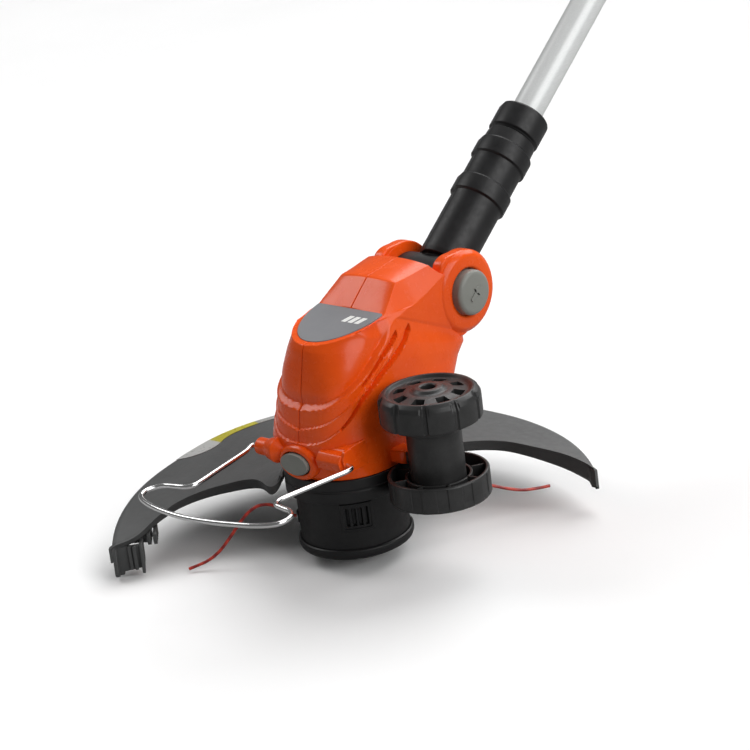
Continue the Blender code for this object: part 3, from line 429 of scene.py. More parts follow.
def placeCamera():
    values = {"turn": 45.3, "height": 19.5, "roll": -7.5, "away": 1808.7,
              "aim": (32.8, 8.5, 143.5), "lens": 118.8}
    turn, height, roll = (math.radians(values[key]) for key in ("turn", "height", "roll"))
    back = np.array((math.sin(turn) * math.cos(height), -math.cos(turn) * math.cos(height), math.sin(height)))
    level = np.array((math.cos(turn), math.sin(turn), 0.0))
    rise = np.cross(back, level)
    right = level * math.cos(roll) + rise * math.sin(roll)
    up = -level * math.sin(roll) + rise * math.cos(roll)
    spot = np.array(values["aim"]) + back * values["away"]
    camera = intoScene("camera", bpy.data.cameras.new("camera"))
    camera.data.lens = values["lens"]
    camera.data.clip_start = 0.05
    camera.matrix_world = Matrix([[right[k], up[k], back[k], spot[k] * mm] for k in range(3)]
                                 + [[0.0, 0.0, 0.0, 1.0]])
    bpy.context.scene.camera = camera


lineValues = {
    "radius": 1.2,
    # (distance from the spool axis, degrees aside of the eyelet, height)
    "left": (225.0, ((36.2, 0.0, 34.0), (44.5, 0.0, 34.6), (50.0, 0.0, 39.0), (56.0, 0.0, 43.4),
                     (63.0, 0.0, 46.0), (70.0, 0.0, 46.2), (76.5, 0.0, 43.4), (82.0, 0.0, 38.8),
                     (89.0, 0.0, 31.0), (97.0, 0.0, 21.5), (105.0, 0.0, 13.2), (115.0, 0.0, 6.8),
                     (129.5, 0.0, 2.2))),
    "right": (45.0, ((36.2, 0.0, 34.0), (44.5, 0.0, 34.2), (58.0, 2.0, 36.5), (75.0, 5.0, 38.0),
                     (92.0, 7.4, 36.4), (105.0, 8.0, 32.6), (120.0, 8.4, 26.4), (132.0, 9.2, 22.4),
                     (144.0, 10.2, 20.6), (153.0, 10.6, 20.2))),
}


def cuttingLine(side):
    # a tube on the Catmull-Rom curve through the route's points, cut square at its free end
    azimuth, route = lineValues[side]
    radius, aside, height = np.array(route).T
    angle = np.radians(azimuth + aside)
    path = throughPoints(np.stack((radius * np.cos(angle), radius * np.sin(angle), height), -1), 90)
    size = lineValues["radius"]
    shape = lattice(piped(path, size, (0, 0, 1), 14))
    line = piece("cutting_line_%s_nylon" % side, [shape], lineNylon, "spool",
                 ("cutting_line_" + side,))


placeCamera()
cuttingLine("left")
cuttingLine("right")
print("camera and cutting lines placed")


housing = {
    # front, widest and rear points (y, z), half width, roundness of the section's front and rear
    "stations": (
        ((-45.0, 76.3), (1.0, 76.3), (48.0, 76.3), 46.0, 2.2, 2.2),
        ((-47.5, 92.0), (10.0, 91.5), (72.0, 91.0), 46.0, 3.2, 3.0),
        ((-47.5, 104.0), (15.0, 103.5), (84.0, 103.0), 45.5, 3.2, 4.0),
        ((-45.0, 114.0), (18.0, 111.0), (90.0, 108.0), 45.0, 3.2, 4.0),
        ((-41.0, 128.0), (20.0, 121.0), (98.0, 114.0), 44.3, 3.1, 4.0),
        ((-39.0, 140.0), (22.0, 131.0), (104.0, 123.0), 43.3, 3.0, 4.0),
        ((-35.5, 150.0), (23.0, 140.0), (108.0, 128.0), 42.5, 2.9, 4.0),
        ((-32.0, 162.0), (24.0, 152.0), (111.0, 132.0), 41.8, 2.4, 4.5),
        ((-30.0, 170.0), (24.0, 163.0), (114.0, 135.0), 40.6, 2.1, 5.0),
        ((-27.0, 175.2), (24.0, 176.0), (116.0, 138.0), 38.0, 2.0, 5.0),
        ((-24.0, 182.0), (24.0, 184.5), (117.0, 139.5), 37.0, 2.0, 5.0),
        ((24.0, 185.0), (32.0, 182.5), (119.0, 142.0), 37.4, 5.0, 5.0),
        ((46.0, 203.6), (66.0, 194.0), (121.0, 145.0), 37.2, 5.0, 6.0),
        ((80.0, 208.2), (92.0, 195.0), (122.0, 148.0), 36.6, 5.0, 6.0)),
    # heights of the raised lines by angle round the upright line (0, 25), 0 at the seam
    "ledge": ((0, 127.9), (20, 131.2), (30, 136.0), (40, 142.0), (52, 149.7), (65, 159.2), (81, 168.0),
              (96, 175.5), (112, 183.0), (180, 205.0)),
    "upperRib": ((0, 113.6), (20, 119.8), (30, 126.0), (40, 133.0), (50, 140.0), (67, 150.8), (88, 160.9),
                 (105, 168.0), (180, 190.0)),
    "lowerRib": ((0, 104.0), (10, 104.8), (20, 108.6), (30, 116.0), (38, 124.4), (45, 132.8), (60, 143.3),
                 (81, 152.3), (102, 160.4), (119, 170.0), (180, 190.0)),
    "ledgeRise": 4.2, "noseDepth": 3.9, "stepDepth": 1.8,
    "slots": (("upperRib", 5.0, 46.0, 98.0, 2.3), ("lowerRib", 0.0, 29.0, 119.0, 3.0)),
    "slotDepth": 5.0,
    "panelTilt": math.radians(11.7), "panelSpot": (0.0, 24.0, 185.0),
    # the flat on each shoulder and the dip of the crown towards its sides
    "shoulderWay": (0.885, -0.13, 0.449), "shoulderSpot": (28.0, 46.6, 201.6), "crownDip": 1.7,
    # the front button: height, then half width and half height of its well and of the button
    "buttonHeight": 90.0, "buttonWell": (14.4, 9.0), "buttonWellDepth": 8.0, "buttonSize": (13.6, 8.2),
    "rows": 230, "columns": 300, "capRows": 16,
}


def sectionRings(stations, rows, columns, soften=1.2):
    # rows of half sections from front seam to rear seam: |fore|^n + |out|^n = 1 on either side of
    # the widest point, each resampled evenly by length; straight runs between stations, softened
    table = np.array([(*s[0], *s[1], *s[2], *s[3:]) for s in stations])
    steps = np.linalg.norm(np.diff(table[:, :2], axis=0), axis=1) + 0.3 * np.linalg.norm(
        np.diff(table[:, 2:4], axis=0), axis=1)
    travel = np.concatenate(([0.0], np.cumsum(steps)))
    at = np.linspace(0.0, travel[-1], rows)
    values = np.stack([np.interp(at, travel, column) for column in table.T], -1)
    reach = int(4 * soften) + 1
    weight = np.exp(-0.5 * (np.arange(-reach, reach + 1) / soften)**2)
    weight /= weight.sum()
    padded = np.concatenate((2 * values[:1] - values[reach:0:-1], values,
                             2 * values[-1:] - values[-2:-reach - 2:-1]))
    values = np.stack([np.convolve(column, weight, "valid") for column in padded.T], -1)
    angle = np.linspace(0.0, math.pi, 1600)
    fore = angle < math.pi / 2
    grid = np.empty((rows, columns, 3))
    for row, (fy, fz, my, mz, ry, rz, wide, front, rear) in enumerate(values):
        power = 2.0 / np.where(fore, front, rear)
        c = np.abs(np.cos(angle))**power
        out = wide * np.abs(np.sin(angle))**power
        ring = np.stack((out, my + np.where(fore, fy - my, ry - my) * c,
                         mz + np.where(fore, fz - mz, rz - mz) * c), -1)
        far = np.concatenate(([0.0], np.cumsum(np.linalg.norm(np.diff(ring, axis=0), axis=1))))
        evenly = np.linspace(0.0, far[-1], columns)
        grid[row] = np.stack([np.interp(evenly, far, axis) for axis in ring.T], -1)
    return grid


def outward(grid):
    # unit normals of a lattice, pointing away from the seam plane's side
    normal = unit(np.cross(np.gradient(grid, axis=1), np.gradient(grid, axis=0)) + 1e-12)
    return normal * np.sign(np.sum(normal[..., :1] * (grid[..., :1] - seam + 1e-6)))


def housingRelief(grid):
    # how far the skin stands back, by the height of a point above each raised line
    x, y, z = np.moveaxis(grid, -1, 0)
    around = np.degrees(np.arctan2(np.abs(x), 25.0 - y))
    lines = {key: flowing(housing[key], around) for key in ("ledge", "upperRib", "lowerRib")}
    above = z - lines["ledge"]
    rise = housing["ledgeRise"]
    nose = np.clip(above / rise, 0.0, 1.0) * np.exp(-np.maximum(above - rise, 0.0) / 11.0)
    relief = housing["noseDepth"] * nose * (1.0 - smoothStep(74.0, 92.0, around))
    for low, high, fade in (("upperRib", "ledge", (70.0, 95.0)), ("lowerRib", "upperRib", (42.0, 66.0))):
        gap = lines[high] - lines[low]
        part = (z - lines[low]) / gap
        step = smoothStep(0.0, 1.1, z - lines[low]) * np.clip(1.0 - part, 0.0, 1.0) * (z > lines[low])
        relief += housing["stepDepth"] * step * (1.0 - smoothStep(*fade, around))
    for line, lift, start, end, wide in housing["slots"]:
        across = np.abs(z - lines[line] - lift) * 0.80
        taper = wide * 0.5 * smoothStep(start - 2.0, start + 26.0, around) + 0.35
        along = smoothStep(start, start + 2.0, around) * (1.0 - smoothStep(end - 1.5, end, around))
        relief += housing["slotDepth"] * (1.0 - smoothStep(taper - 0.25, taper + 0.25, across)) * along
    wellWide, wellHigh = housing["buttonWell"]
    well = ((x / wellWide)**2 + ((z - housing["buttonHeight"]) / wellHigh)**2 < 1.0) & (y < -20.0)
    return relief + housing["buttonWellDepth"] * well


def chamferPlane(grid, normal, through):
    # whatever stands beyond the plane is pressed flat onto it
    normal = unit(normal)
    beyond = np.maximum((grid - np.asarray(through)) @ normal, 0.0)
    return grid - beyond[..., None] * normal


def closedHalf(grid, capRows, reach=0.985):
    # both end sections are drawn in to the seam plane, so the half is a closed body
    pull = np.linspace(0.0, reach, capRows + 1)[1:]
    low, high = (np.repeat(ring[None], capRows, 0) for ring in (grid[0], grid[-1]))
    low[..., 0] = seam + (low[..., 0] - seam) * (1.0 - pull[::-1, None])
    high[..., 0] = seam + (high[..., 0] - seam) * (1.0 - pull[:, None])
    return np.concatenate((low, grid, high))


def barrelRoom(grid, radius=26.0, wide=25.4):
    # skin inside the barrel's space is pushed straight away from the tilt axis
    spot = grid[..., 1:] - pivot[1:]
    far = np.linalg.norm(spot, axis=-1)
    inside = (far < radius) & (grid[..., 0] < wide)
    grid[..., 1:] += np.where(inside, (radius - far) / np.maximum(far, 1e-6), 0.0)[..., None] * spot
    return grid


def mirrored(shape, side):
    points, faces = shape
    return points * np.array((side, 1.0, 1.0)), faces


def housingSkin():
    grid = sectionRings(housing["stations"], housing["rows"], housing["columns"])
    tilt = housing["panelTilt"]
    pressed = chamferPlane(grid, (0.0, -math.sin(tilt), math.cos(tilt)), housing["panelSpot"])
    grid = np.where(grid[..., 1:2] < 24.0, pressed, grid)
    grid = chamferPlane(grid, housing["shoulderWay"], housing["shoulderSpot"])
    crown = smoothStep(24.0, 60.0, grid[..., 1]) * smoothStep(183.0, 186.0, grid[..., 2])
    grid[..., 2] -= crown * housing["crownDip"] * (np.minimum(grid[..., 0], 28.0) / 26.0)**2
    grid[..., 0] += seam
    grid = grid - housingRelief(grid)[..., None] * outward(grid)
    grid[:, (0, -1), 0] = seam
    grid[:, 0, 1] += 0.6                        # the seam's shadow line
    return lattice(barrelRoom(closedHalf(grid, housing["capRows"])), ends=True)


def earShapes():
    # disc with a broad rounded face and a well for its button, and the neck that carries it
    disc = turned(((18.2, 30.3), (18.2, 37.4), (19.8, 38.8), (28.0, 38.2), (32.0, 34.4), (32.0, 25.4),
                   (10.6, 25.4), (10.6, 30.3), (18.2, 30.3)), 120, 1.6)
    outline = rounded(((88.0, 190.0), (90.0, 203.0), (98.0, 206.8), (113.0, 206.8), (113.0, 143.2),
                       (104.0, 141.0), (88.0, 156.0)), 6.0, 8, shut=True)
    neck = slab(outline - pivot[1:], 25.6, 34.6, 2.2)
    return [put(disc, pivot, *acrossTool), put(neck, pivot, *acrossTool)]


def wireBossLeft():
    # round boss swelling out of the casing towards the wire's left end
    shape = turned(((0.0, 12.0), (10.0, 22.0), (8.4, 29.0), (6.7, 32.0), (6.5, 41.6), (5.6, 42.5),
                    (2.4, 42.5), (2.4, 35.0), (0.3, 34.6)), 64, 1.0)
    return put(shape, (0.0, *wirePivot), (-1, 0, 0), (0, 1, 0))


def wingBoss():
    # flat-topped wing that holds the wire, (y, z) outline carried out along x, and its end plate
    spot = np.array((-46.0, 97.0))
    wing = rounded(((-50.5, 90.0), (-52.5, 97.6), (-48.5, 102.6), (-38.0, 103.4), (-36.0, 90.0)),
                   1.0, 5, shut=True)
    plate = rounded(((-47.4, 88.0), (-49.6, 99.6), (-46.5, 105.4), (-39.0, 106.0), (-33.0, 92.0)),
                    1.4, 5, shut=True)
    root = rounded(((-44.0, 86.0), (-45.0, 101.0), (-40.0, 104.5), (-20.0, 106.0), (-20.0, 86.0)),
                   2.0, 4, shut=True)
    parts = ((wing, 22.0, 45.4, 0.7), (plate, 44.6, 47.4, 0.6), (root, 28.0, 44.0, 1.2))
    return [put(slab(part - spot, low, high, edge), (0.0, *spot), *acrossTool)
            for part, low, high, edge in parts]


def buttonSeat():
    # raised oval collar, carried whole by the right half of the casing
    profile = ((5.0, 38.0), (5.0, 49.6), (3.4, 51.6), (1.0, 52.0), (0.5, 51.2), (0.5, 38.0))
    ring = carried(oval(13.8, 8.4), profile, shut=True, bend=0.9)
    return put(ring, (0.0, 0.0, housing["buttonHeight"]), (0, -1, 0), (1, 0, 0))


def buildHousing():
    skin = housingSkin()
    for side, word in ((-1, "left"), (1, "right")):
        shapes = [mirrored(skin, side)] + [mirrored(shape, side) for shape in earShapes()]
        if side > 0:
            lug = slab(oval(10.0, 7.0, 5.0), 80.0, 90.0, 1.5)
            shapes += wingBoss() + [put(lug, (50.0, 7.7, 0.0))]
            shapes.append(buttonSeat())
        else:
            shapes.append(wireBossLeft())
        piece("housing_%s_shell" % word, shapes, orange, "head", ("housing_" + word,), 32.0)


def buildPanel():
    # half ellipse with its straight edge at the back, and three plain slanted bars printed on it
    angle = np.linspace(0.0, math.pi, 60)
    arc = np.stack((32.6 * np.cos(angle), -47.5 * np.sin(angle)), -1)
    outline = np.concatenate((arc, ((-31.0, 0.9), (31.0, 0.9))))
    tilt = housing["panelTilt"]
    way = (0.0, -math.sin(tilt), math.cos(tilt))
    spot = housing["panelSpot"]
    piece("top_panel_plate", [put(slab(outline, -2.0, 0.45, 0.4), spot, way)], greyAbs, "head",
          ("top_panel",))
    bars = []
    for k in range(3):
        bar = rounded(((0.0, 0.0), (4.4, 0.0), (7.0, 8.6), (2.6, 8.6)), 0.6, 4, shut=True)
        bars.append(put(slab(bar + (6.0 + 6.4 * k, -17.0), 0.3, 0.6, 0.1), spot, way))
    piece("top_panel_bars", bars, whiteMark, "head")


def buildButtons():
    # push buttons of the tilt lock: softly domed, with a plain raised arrow
    dome = turned(((0.4, 34.0), (17.4, 34.0), (17.4, 43.2), (15.2, 45.2), (0.4, 45.7)), 96, 1.5)
    arrow = rounded(((-7.4, -1.5), (1.0, -1.5), (1.0, -4.6), (7.6, 0.0), (1.0, 4.6), (1.0, 1.5), (-7.4, 1.5)),
                    0.5, 4, shut=True)
    for side, word in ((-1, "left"), (1, "right")):
        way = (side, 0, 0)
        shapes = [put(dome, pivot, way, (0, 1, 0)),
                  put(slab(arrow, 45.2, 46.4, 0.2), pivot, way, (0.0, 0.79, 0.61))]
        piece("tilt_button_%s_cap" % word, shapes, buttonGrey, "tilt_button_" + word,
              ("tilt_button_" + word,))
    button = slab(oval(*housing["buttonSize"]), 42.0, 54.4, 1.0)
    front = put(button, (0.0, 0.0, housing["buttonHeight"]), (0, -1, 0), (1, 0, 0))
    piece("front_button_cap", [front], buttonGrey, "front_button", ("front_button",))


buildHousing()
buildPanel()
buildButtons()
print("head housing made")


spoolValues = {"radius": 41.4, "panelTurn": -41.0, "panelWide": 24.5, "panelLow": 33.0, "panelHigh": 55.0,
               "slots": 4, "slotWide": 2.5}


def spoolSkin(radius, height, angle):
    # the wall swells into a raised frame and falls away in upright slots, by angle and height
    v = spoolValues
    side = (np.degrees(angle) - v["panelTurn"] + 180.0) % 360.0 - 180.0
    across = np.radians(side) * v["radius"]
    half = v["panelWide"] / 2.0
    inside = np.maximum(np.abs(across) - half, np.maximum(v["panelLow"] - height, height - v["panelHigh"]))
    border = smoothStep(-2.4, -1.8, inside) * (1.0 - smoothStep(-0.6, 0.2, inside))
    pitch = (v["panelWide"] - 5.0) / v["slots"]
    local = (across + half - 2.5) % pitch - pitch / 2.0
    slot = (1.0 - smoothStep(v["slotWide"] / 2 - 0.3, v["slotWide"] / 2 + 0.3, np.abs(local))) \
        * smoothStep(3.8, 4.4, -inside)
    wall = np.abs(radius - v["radius"]) < 0.2
    return radius + wall * (0.9 * border - 3.2 * slot), height


def buildSpool():
    # wall points stand close together, so that the frame and slots of spoolSkin come out sharp
    rise = [(41.4, z) for z in np.linspace(12.5, 56.0, 110)]
    inner = [(12.2, 54.6), (38.6, 54.6), (38.6, 11.4), (41.4, 11.4)]
    profile = inner + rise + [(39.9, 57.5), (12.2, 57.5), inner[0]]
    shell = turned(profile, 720, 0.35, spoolSkin)
    eyes = []
    for side in ("left", "right"):
        azimuth, route = lineValues[side]
        collar = turned(((3.2, 41.0), (5.2, 41.0), (5.2, 42.2), (3.2, 42.2), (3.2, 41.0)), 40, 0.3)
        way = (math.cos(math.radians(azimuth)), math.sin(math.radians(azimuth)), 0.0)
        eyes.append(put(collar, (0.0, 0.0, route[0][2]), way, (0, 0, 1)))
    piece("spool_housing_shell", [shell] + eyes, nylon, "spool", ("spool_housing",))
    cap = turned(((17.4, 8.0), (36.0, 8.0), (42.6, 11.4), (43.7, 14.0), (43.7, 17.6), (42.4, 18.6),
                  (41.8, 18.6), (41.8, 13.0), (17.4, 11.0), (17.4, 8.0)), 160, 1.0)
    piece("spool_cap_shell", [cap], nylon, "spool", ("spool_cap",))

    def grip(radius, height, angle):
        # eight shallow flutes round the knob's wall
        return radius - 0.5 * (radius > 12.0) * (height < 12.0) * np.cos(8.0 * angle).clip(0.3, 1.0), height
    knob = turned(((0.4, 0.0), (8.0, 0.0), (11.0, 1.0), (14.2, 4.2), (16.5, 9.0), (16.5, 13.4), (0.4, 13.6)),
                  120, 1.6, grip)
    piece("bump_knob_cap", [knob], nylon, "bobbin", ("bump_knob",))


def buildBase():
    # skirt that the spool turns in, broken where the lower edging wheel passes
    def wheelRoom(radius, height, angle):
        x, y = radius * np.cos(angle), radius * np.sin(angle)
        near = np.hypot(x - wheelSpot[0], y - wheelSpot[1])
        return radius - np.maximum(39.4 - near, 0.0) * (height < 80.0) * 0.98, height
    ring = turned(((14.0, 72.0), (44.5, 72.0), (44.5, 57.8), (48.0, 57.8), (48.0, 66.0), (47.4, 66.6),
                   (47.4, 67.6), (48.0, 68.2), (48.0, 76.0), (14.0, 76.0), (14.0, 72.0)), 200, 0.7, wheelRoom)
    lugs = []
    for azimuth in (104.0, 141.5, 179.0):
        a = math.radians(azimuth)
        lugs.append(put(turned(((2.0, 56.0), (6.5, 56.0), (6.5, 58.8), (2.0, 58.8), (2.0, 56.0)), 48, 0.4),
                        (54.0 * math.cos(a), 54.0 * math.sin(a), 0.0)))
    piece("base_ring_skirt", [ring] + lugs, nylon, "head", ("base_ring",))


guard = {
    "middle": 141.5, "inner": 50.3, "outer": 185.0, "hub": 64.0, "wall": 2.6,
    # height of the rim by degrees aside of the middle, the wheel side first
    "rim": ((-94.5, 34.5), (-86, 37.0), (-75, 39.5), (-60, 42.0), (-42, 45.0), (-25, 50.0), (0, 52.0),
            (25, 50.0), (42, 44.5), (60, 39.5), (75, 32.5), (86, 24.0), (94.5, 18.0)),
    # half the sweep in degrees by radius, on the wheel side and on the other
    "spanWheel": ((49, 92.5), (58, 86.0), (68, 70.0), (77, 63.0), (104, 62.5), (138, 69.5), (150, 75.5),
                  (172, 84.5), (185, 91.5)),
    "spanOther": ((49, 92.5), (58, 86.0), (68, 70.0), (77, 63.0), (104, 62.5), (138, 69.5), (150, 75.0),
                  (164, 81.0), (185, 82.5)),
    "lipWheel": ((49, 5.0), (60, 9.0), (77, 10.0), (104, 10.0), (138, 10.0), (150, 11.0), (165, 14.0),
                 (185, 18.0)),
    "lipOther": ((49, 5.0), (60, 9.0), (77, 10.5), (104, 9.5), (138, 7.5), (160, 6.0), (185, 5.0)),
    "lipLean": 0.55,
    "skirt": 12.0, "collar": 6.0,
}


def guardHeight(radius, offset):
    # falls from hub to rim by the 0.8 power of the way out, with a fillet up to the base ring
    rim = flowing(guard["rim"], offset)
    out = np.maximum(radius - guard["inner"], 0.0)
    part = np.clip(out / (guard["outer"] - guard["inner"]), 0.0, 1.0)
    return guard["hub"] + (rim - guard["hub"]) * part**0.8 + guard["collar"] * np.exp(-out / 4.5)


def guardPoint(radius, offset, lift=0.0):
    angle = np.radians(guard["middle"] + offset)
    return np.stack((radius * np.cos(angle), radius * np.sin(angle), guardHeight(radius, offset) + lift), -1)


def buildGuard():
    # top skin by radius and angle, turned down into a rim skirt and into a lip along each front edge
    radii = np.concatenate((np.linspace(guard["inner"], guard["outer"], 90), np.full(9, guard["outer"])))
    rimDrop = np.concatenate((np.zeros(90), np.linspace(0.0, 1.0, 10)[1:]))
    share = np.concatenate((np.full(7, -1.0), np.linspace(-1.0, 1.0, 260), np.full(7, 1.0)))
    edgeDrop = np.concatenate((np.linspace(1.0, 0.0, 8)[:-1], np.zeros(260), np.linspace(0.0, 1.0, 8)[1:]))
    r, f = np.meshgrid(radii, share, indexing="ij")
    dr, de = np.meshgrid(rimDrop, edgeDrop, indexing="ij")
    offset = f * np.where(f < 0.0, flowing(guard["spanWheel"], r), flowing(guard["spanOther"], r))
    skirt = guard["skirt"] + 5.0 * smoothStep(78.0, 93.0, np.abs(offset))
    lip = de * np.where(f < 0.0, flowing(guard["lipWheel"], r), flowing(guard["lipOther"], r))
    offset = offset - np.sign(f) * np.degrees(guard["lipLean"] * lip * (1.0 - dr) / r)
    drop = np.maximum(dr * skirt, lip)
    nearRim = smoothStep(guard["outer"] - 3.0, guard["outer"], r) * (1.0 - np.clip(dr * 4.0, 0.0, 1.0))
    z = guardHeight(r, offset) - drop - 0.9 * nearRim
    angle = np.radians(guard["middle"] + offset)
    grid = np.stack((r * np.cos(angle), r * np.sin(angle), z), -1)
    thing = piece("debris_guard_shell", [lattice(grid, around=False, ends=False)], guardPlastic, "head",
                  ("debris_guard",), 38.0)
    wall = thing.modifiers.new("wall", "SOLIDIFY")
    wall.thickness = guard["wall"] * mm
    wall.offset = -1.0
    buildTip()
    buildLabel()


def buildTip():
    # the line cutter's side ends in a hanging channel: outer wall, inner wall and the curtain
    # between them, with a toothed bracket behind; outlines are (ahead, up) at each wall's radius
    turn = math.radians(guard["middle"] + 82.0)
    outer = np.array((math.cos(turn), math.sin(turn), 0.0))
    ahead = np.array((-math.sin(turn), math.cos(turn), 0.0))
    wallOut = ((-20.0, 27.0), (-3.0, 25.0), (2.0, 24.4), (6.0, 14.0), (7.6, 5.0), (1.6, 1.2), (-6.0, 3.0),
               (-14.0, 12.0))
    wallIn = ((-12.0, 27.0), (-2.0, 26.0), (0.6, 24.0), (2.0, 12.0), (4.0, 2.4), (-2.6, 7.0), (-9.0, 12.0))
    shapes = []
    for outline, radius, half in ((wallOut, 183.6, 1.4), (wallIn, 163.4, 1.2)):
        flat = rounded(outline, 2.2, 6, shut=True)
        shapes.append(put(slab(flat, -half, half, 0.6), outer * radius, outer, ahead))
    # the curtain in (out, up), its foot raised between the walls, and its two upright folds
    curtain = rounded(((-10.6, 25.0), (-10.6, 6.4), (4.4, 4.4), (4.6, 2.0), (9.8, 1.6), (9.8, 24.4)),
                      0.8, 4, shut=True)
    shapes.append(put(slab(curtain, 1.0, 3.4, 0.5), outer * 174.0, -ahead, outer))
    for out, reach in ((168.6, 1.6), (172.4, 0.6)):
        fold = rounded(((-1.3, 25.0), (-1.3, 5.6), (1.3, 5.6), (1.3, 25.0)), 0.8, 4, shut=True)
        shapes.append(put(slab(fold, -reach, 3.0, 0.5), outer * out, -ahead, outer))
    teeth = [(-26.0, 31.0), (-26.0, 27.0)]
    for k in range(5):
        teeth += [(-26.0 + 3.4 * k + 1.6, 21.6 - 0.5 * k), (-26.0 + 3.4 * k + 3.4, 25.0 - 0.6 * k)]
    teeth += [(-8.0, 29.0)]
    plate = slab(rounded(teeth, 0.5, 3, shut=True), -1.4, 1.4, 0.5)
    for radius in (153.0, 157.6):
        shapes.append(put(plate, outer * radius, outer, ahead))
    piece("debris_guard_tip", shapes, guardPlastic, "head")


def buildLabel():
    # label along the wing's outer slope: rounded end, wide belly, then a narrowing tail
    width = ((0.0, 0.6), (0.05, 9.0), (0.16, 17.0), (0.28, 18.0), (0.42, 11.5), (0.60, 8.5), (0.96, 7.0),
             (1.0, 6.0))
    a, c = np.meshgrid(np.linspace(0.0, 1.0, 120), np.linspace(0.0, 1.0, 20), indexing="ij")
    offset = 42.0 - 34.0 * a
    radius = 183.4 - flowing(width, a) * c
    top, bottom = (guardPoint(radius, offset, lift).reshape(-1, 3) for lift in (0.45, 0.12))
    rows, columns = a.shape
    index = np.arange(rows * columns).reshape(rows, columns)
    face = np.stack((index[:-1, :-1], index[:-1, 1:], index[1:, 1:], index[1:, :-1]), -1).reshape(-1, 4)
    edge = np.concatenate((index[0, :-1], index[:-1, -1], index[-1, :0:-1], index[:0:-1, 0]))
    under = rows * columns
    wall = np.stack((edge, np.roll(edge, -1), np.roll(edge, -1) + under, edge + under), -1)
    shape = (np.concatenate((top, bottom)), [face, face[:, ::-1] + under, wall[:, ::-1]])
    thing = piece("guard_label", [shape], label, "head")
    values = thing.data.attributes.new("labelBand", "FLOAT", "POINT")
    values.data.foreach_set("value", np.tile(a.reshape(-1), 2).astype(np.float32))


def treadNotch(angle, count, half):
    # 1 in narrow gaps between tread blocks, 0 on the blocks
    turn = (np.degrees(angle) * count / 360.0) % 1.0
    return 1.0 - smoothStep(half, half + 0.03, np.abs(turn - 0.5))


def upperWheelSkin(radius, height, angle):
    # tread gaps cut the rim; eight square windows sink into the dished face
    notch = treadNotch(angle, 10, 0.05) * smoothStep(33.0, 36.5, radius)
    corner = treadNotch(angle, 10, 0.13) * smoothStep(35.0, 37.0, radius) * smoothStep(133.5, 136.0, height)
    turn = (np.degrees(angle) * 8.0 / 360.0) % 1.0
    window = (1.0 - smoothStep(0.21, 0.25, np.abs(turn - 0.5))) * smoothStep(18.2, 18.8, radius) \
        * (1.0 - smoothStep(26.0, 26.6, radius)) * (height > 137.0)
    return radius - 1.3 * notch - 0.9 * corner, height - 7.0 * window


def lowerWheelSkin(radius, height, angle):
    block = treadNotch(angle, 12, 0.20) * smoothStep(36.9, 37.4, radius) * (height > 60.5) * (height < 77.0)
    return radius - 0.8 * block, height


def buildWheels():
    # the upper wheel is one turned body; the lower is an open cup with a hub and eight spokes
    dish = [(r, 140.6 - 2.0 * smoothStep(14.0, 28.0, r)) for r in np.linspace(28.0, 14.0, 60)]
    tread = [(5.4, 119.0), (9.0, 119.0), (9.0, 128.0), (28.0, 128.0), (34.0, 126.0), (34.0, 119.0),
             (37.0, 119.0), (37.6, 120.6), (37.6, 124.0), (37.6, 128.0), (37.6, 132.0), (37.6, 135.6),
             (36.4, 138.6), (33.6, 141.2), (31.4, 141.2), (29.6, 138.8)]
    boss = [(12.0, 141.2), (10.2, 143.0), (6.6, 143.4), (5.4, 142.6), (5.4, 119.0)]
    upper = turned(tread + dish + boss, 480, 0.7, upperWheelSkin)
    piece("edge_wheel_upper_disc", [put(upper, wheelSpot)], wheelNylon, "wheel_upper",
          ("edge_wheel_upper",))
    rim = turned(((34.8, 58.7), (36.6, 58.7), (37.6, 60.0), (37.6, 64.0), (37.6, 70.0), (37.6, 76.8),
                  (36.8, 78.1), (35.0, 78.1), (34.8, 77.6), (34.8, 58.7)), 480, 0.5, lowerWheelSkin)
    floor = turned(((5.3, 58.7), (35.4, 58.7), (35.4, 61.6), (5.3, 61.6), (5.3, 58.7)), 120, 0.4)
    hub = turned(((22.8, 60.0), (24.8, 60.0), (24.8, 75.4), (22.8, 75.4), (22.8, 60.0)), 120, 0.5)
    shapes = [put(rim, wheelSpot), put(floor, wheelSpot), put(hub, wheelSpot)]
    for k in range(8):
        a = math.radians(45.0 * k + 12.0)
        spoke = slab(oval(5.6, 0.9, 6.0, 24), 60.5, 76.0, 0.4)
        spot = wheelSpot + np.array((29.8 * math.cos(a), 29.8 * math.sin(a), 0.0))
        shapes.append(put(spoke, spot, (0, 0, 1), (math.cos(a), math.sin(a), 0)))
    piece("edge_wheel_lower_disc", shapes, wheelNylon, "wheel_lower", ("edge_wheel_lower",))
    drum = turned(((5.4, 62.4), (20.2, 62.4), (20.2, 66.0), (20.4, 110.0), (21.2, 112.0), (21.2, 118.4),
                   (5.4, 118.4), (5.4, 62.4)), 120, 0.8)
    tongue = put(slab(oval(5.0, 6.0, 5.0), 81.0, 89.0, 1.0), (64.0, 7.7, 0.0))
    piece("wheel_post_drum", [put(drum, wheelSpot), tongue], wheelNylon, "head",
          ("wheel_post",))


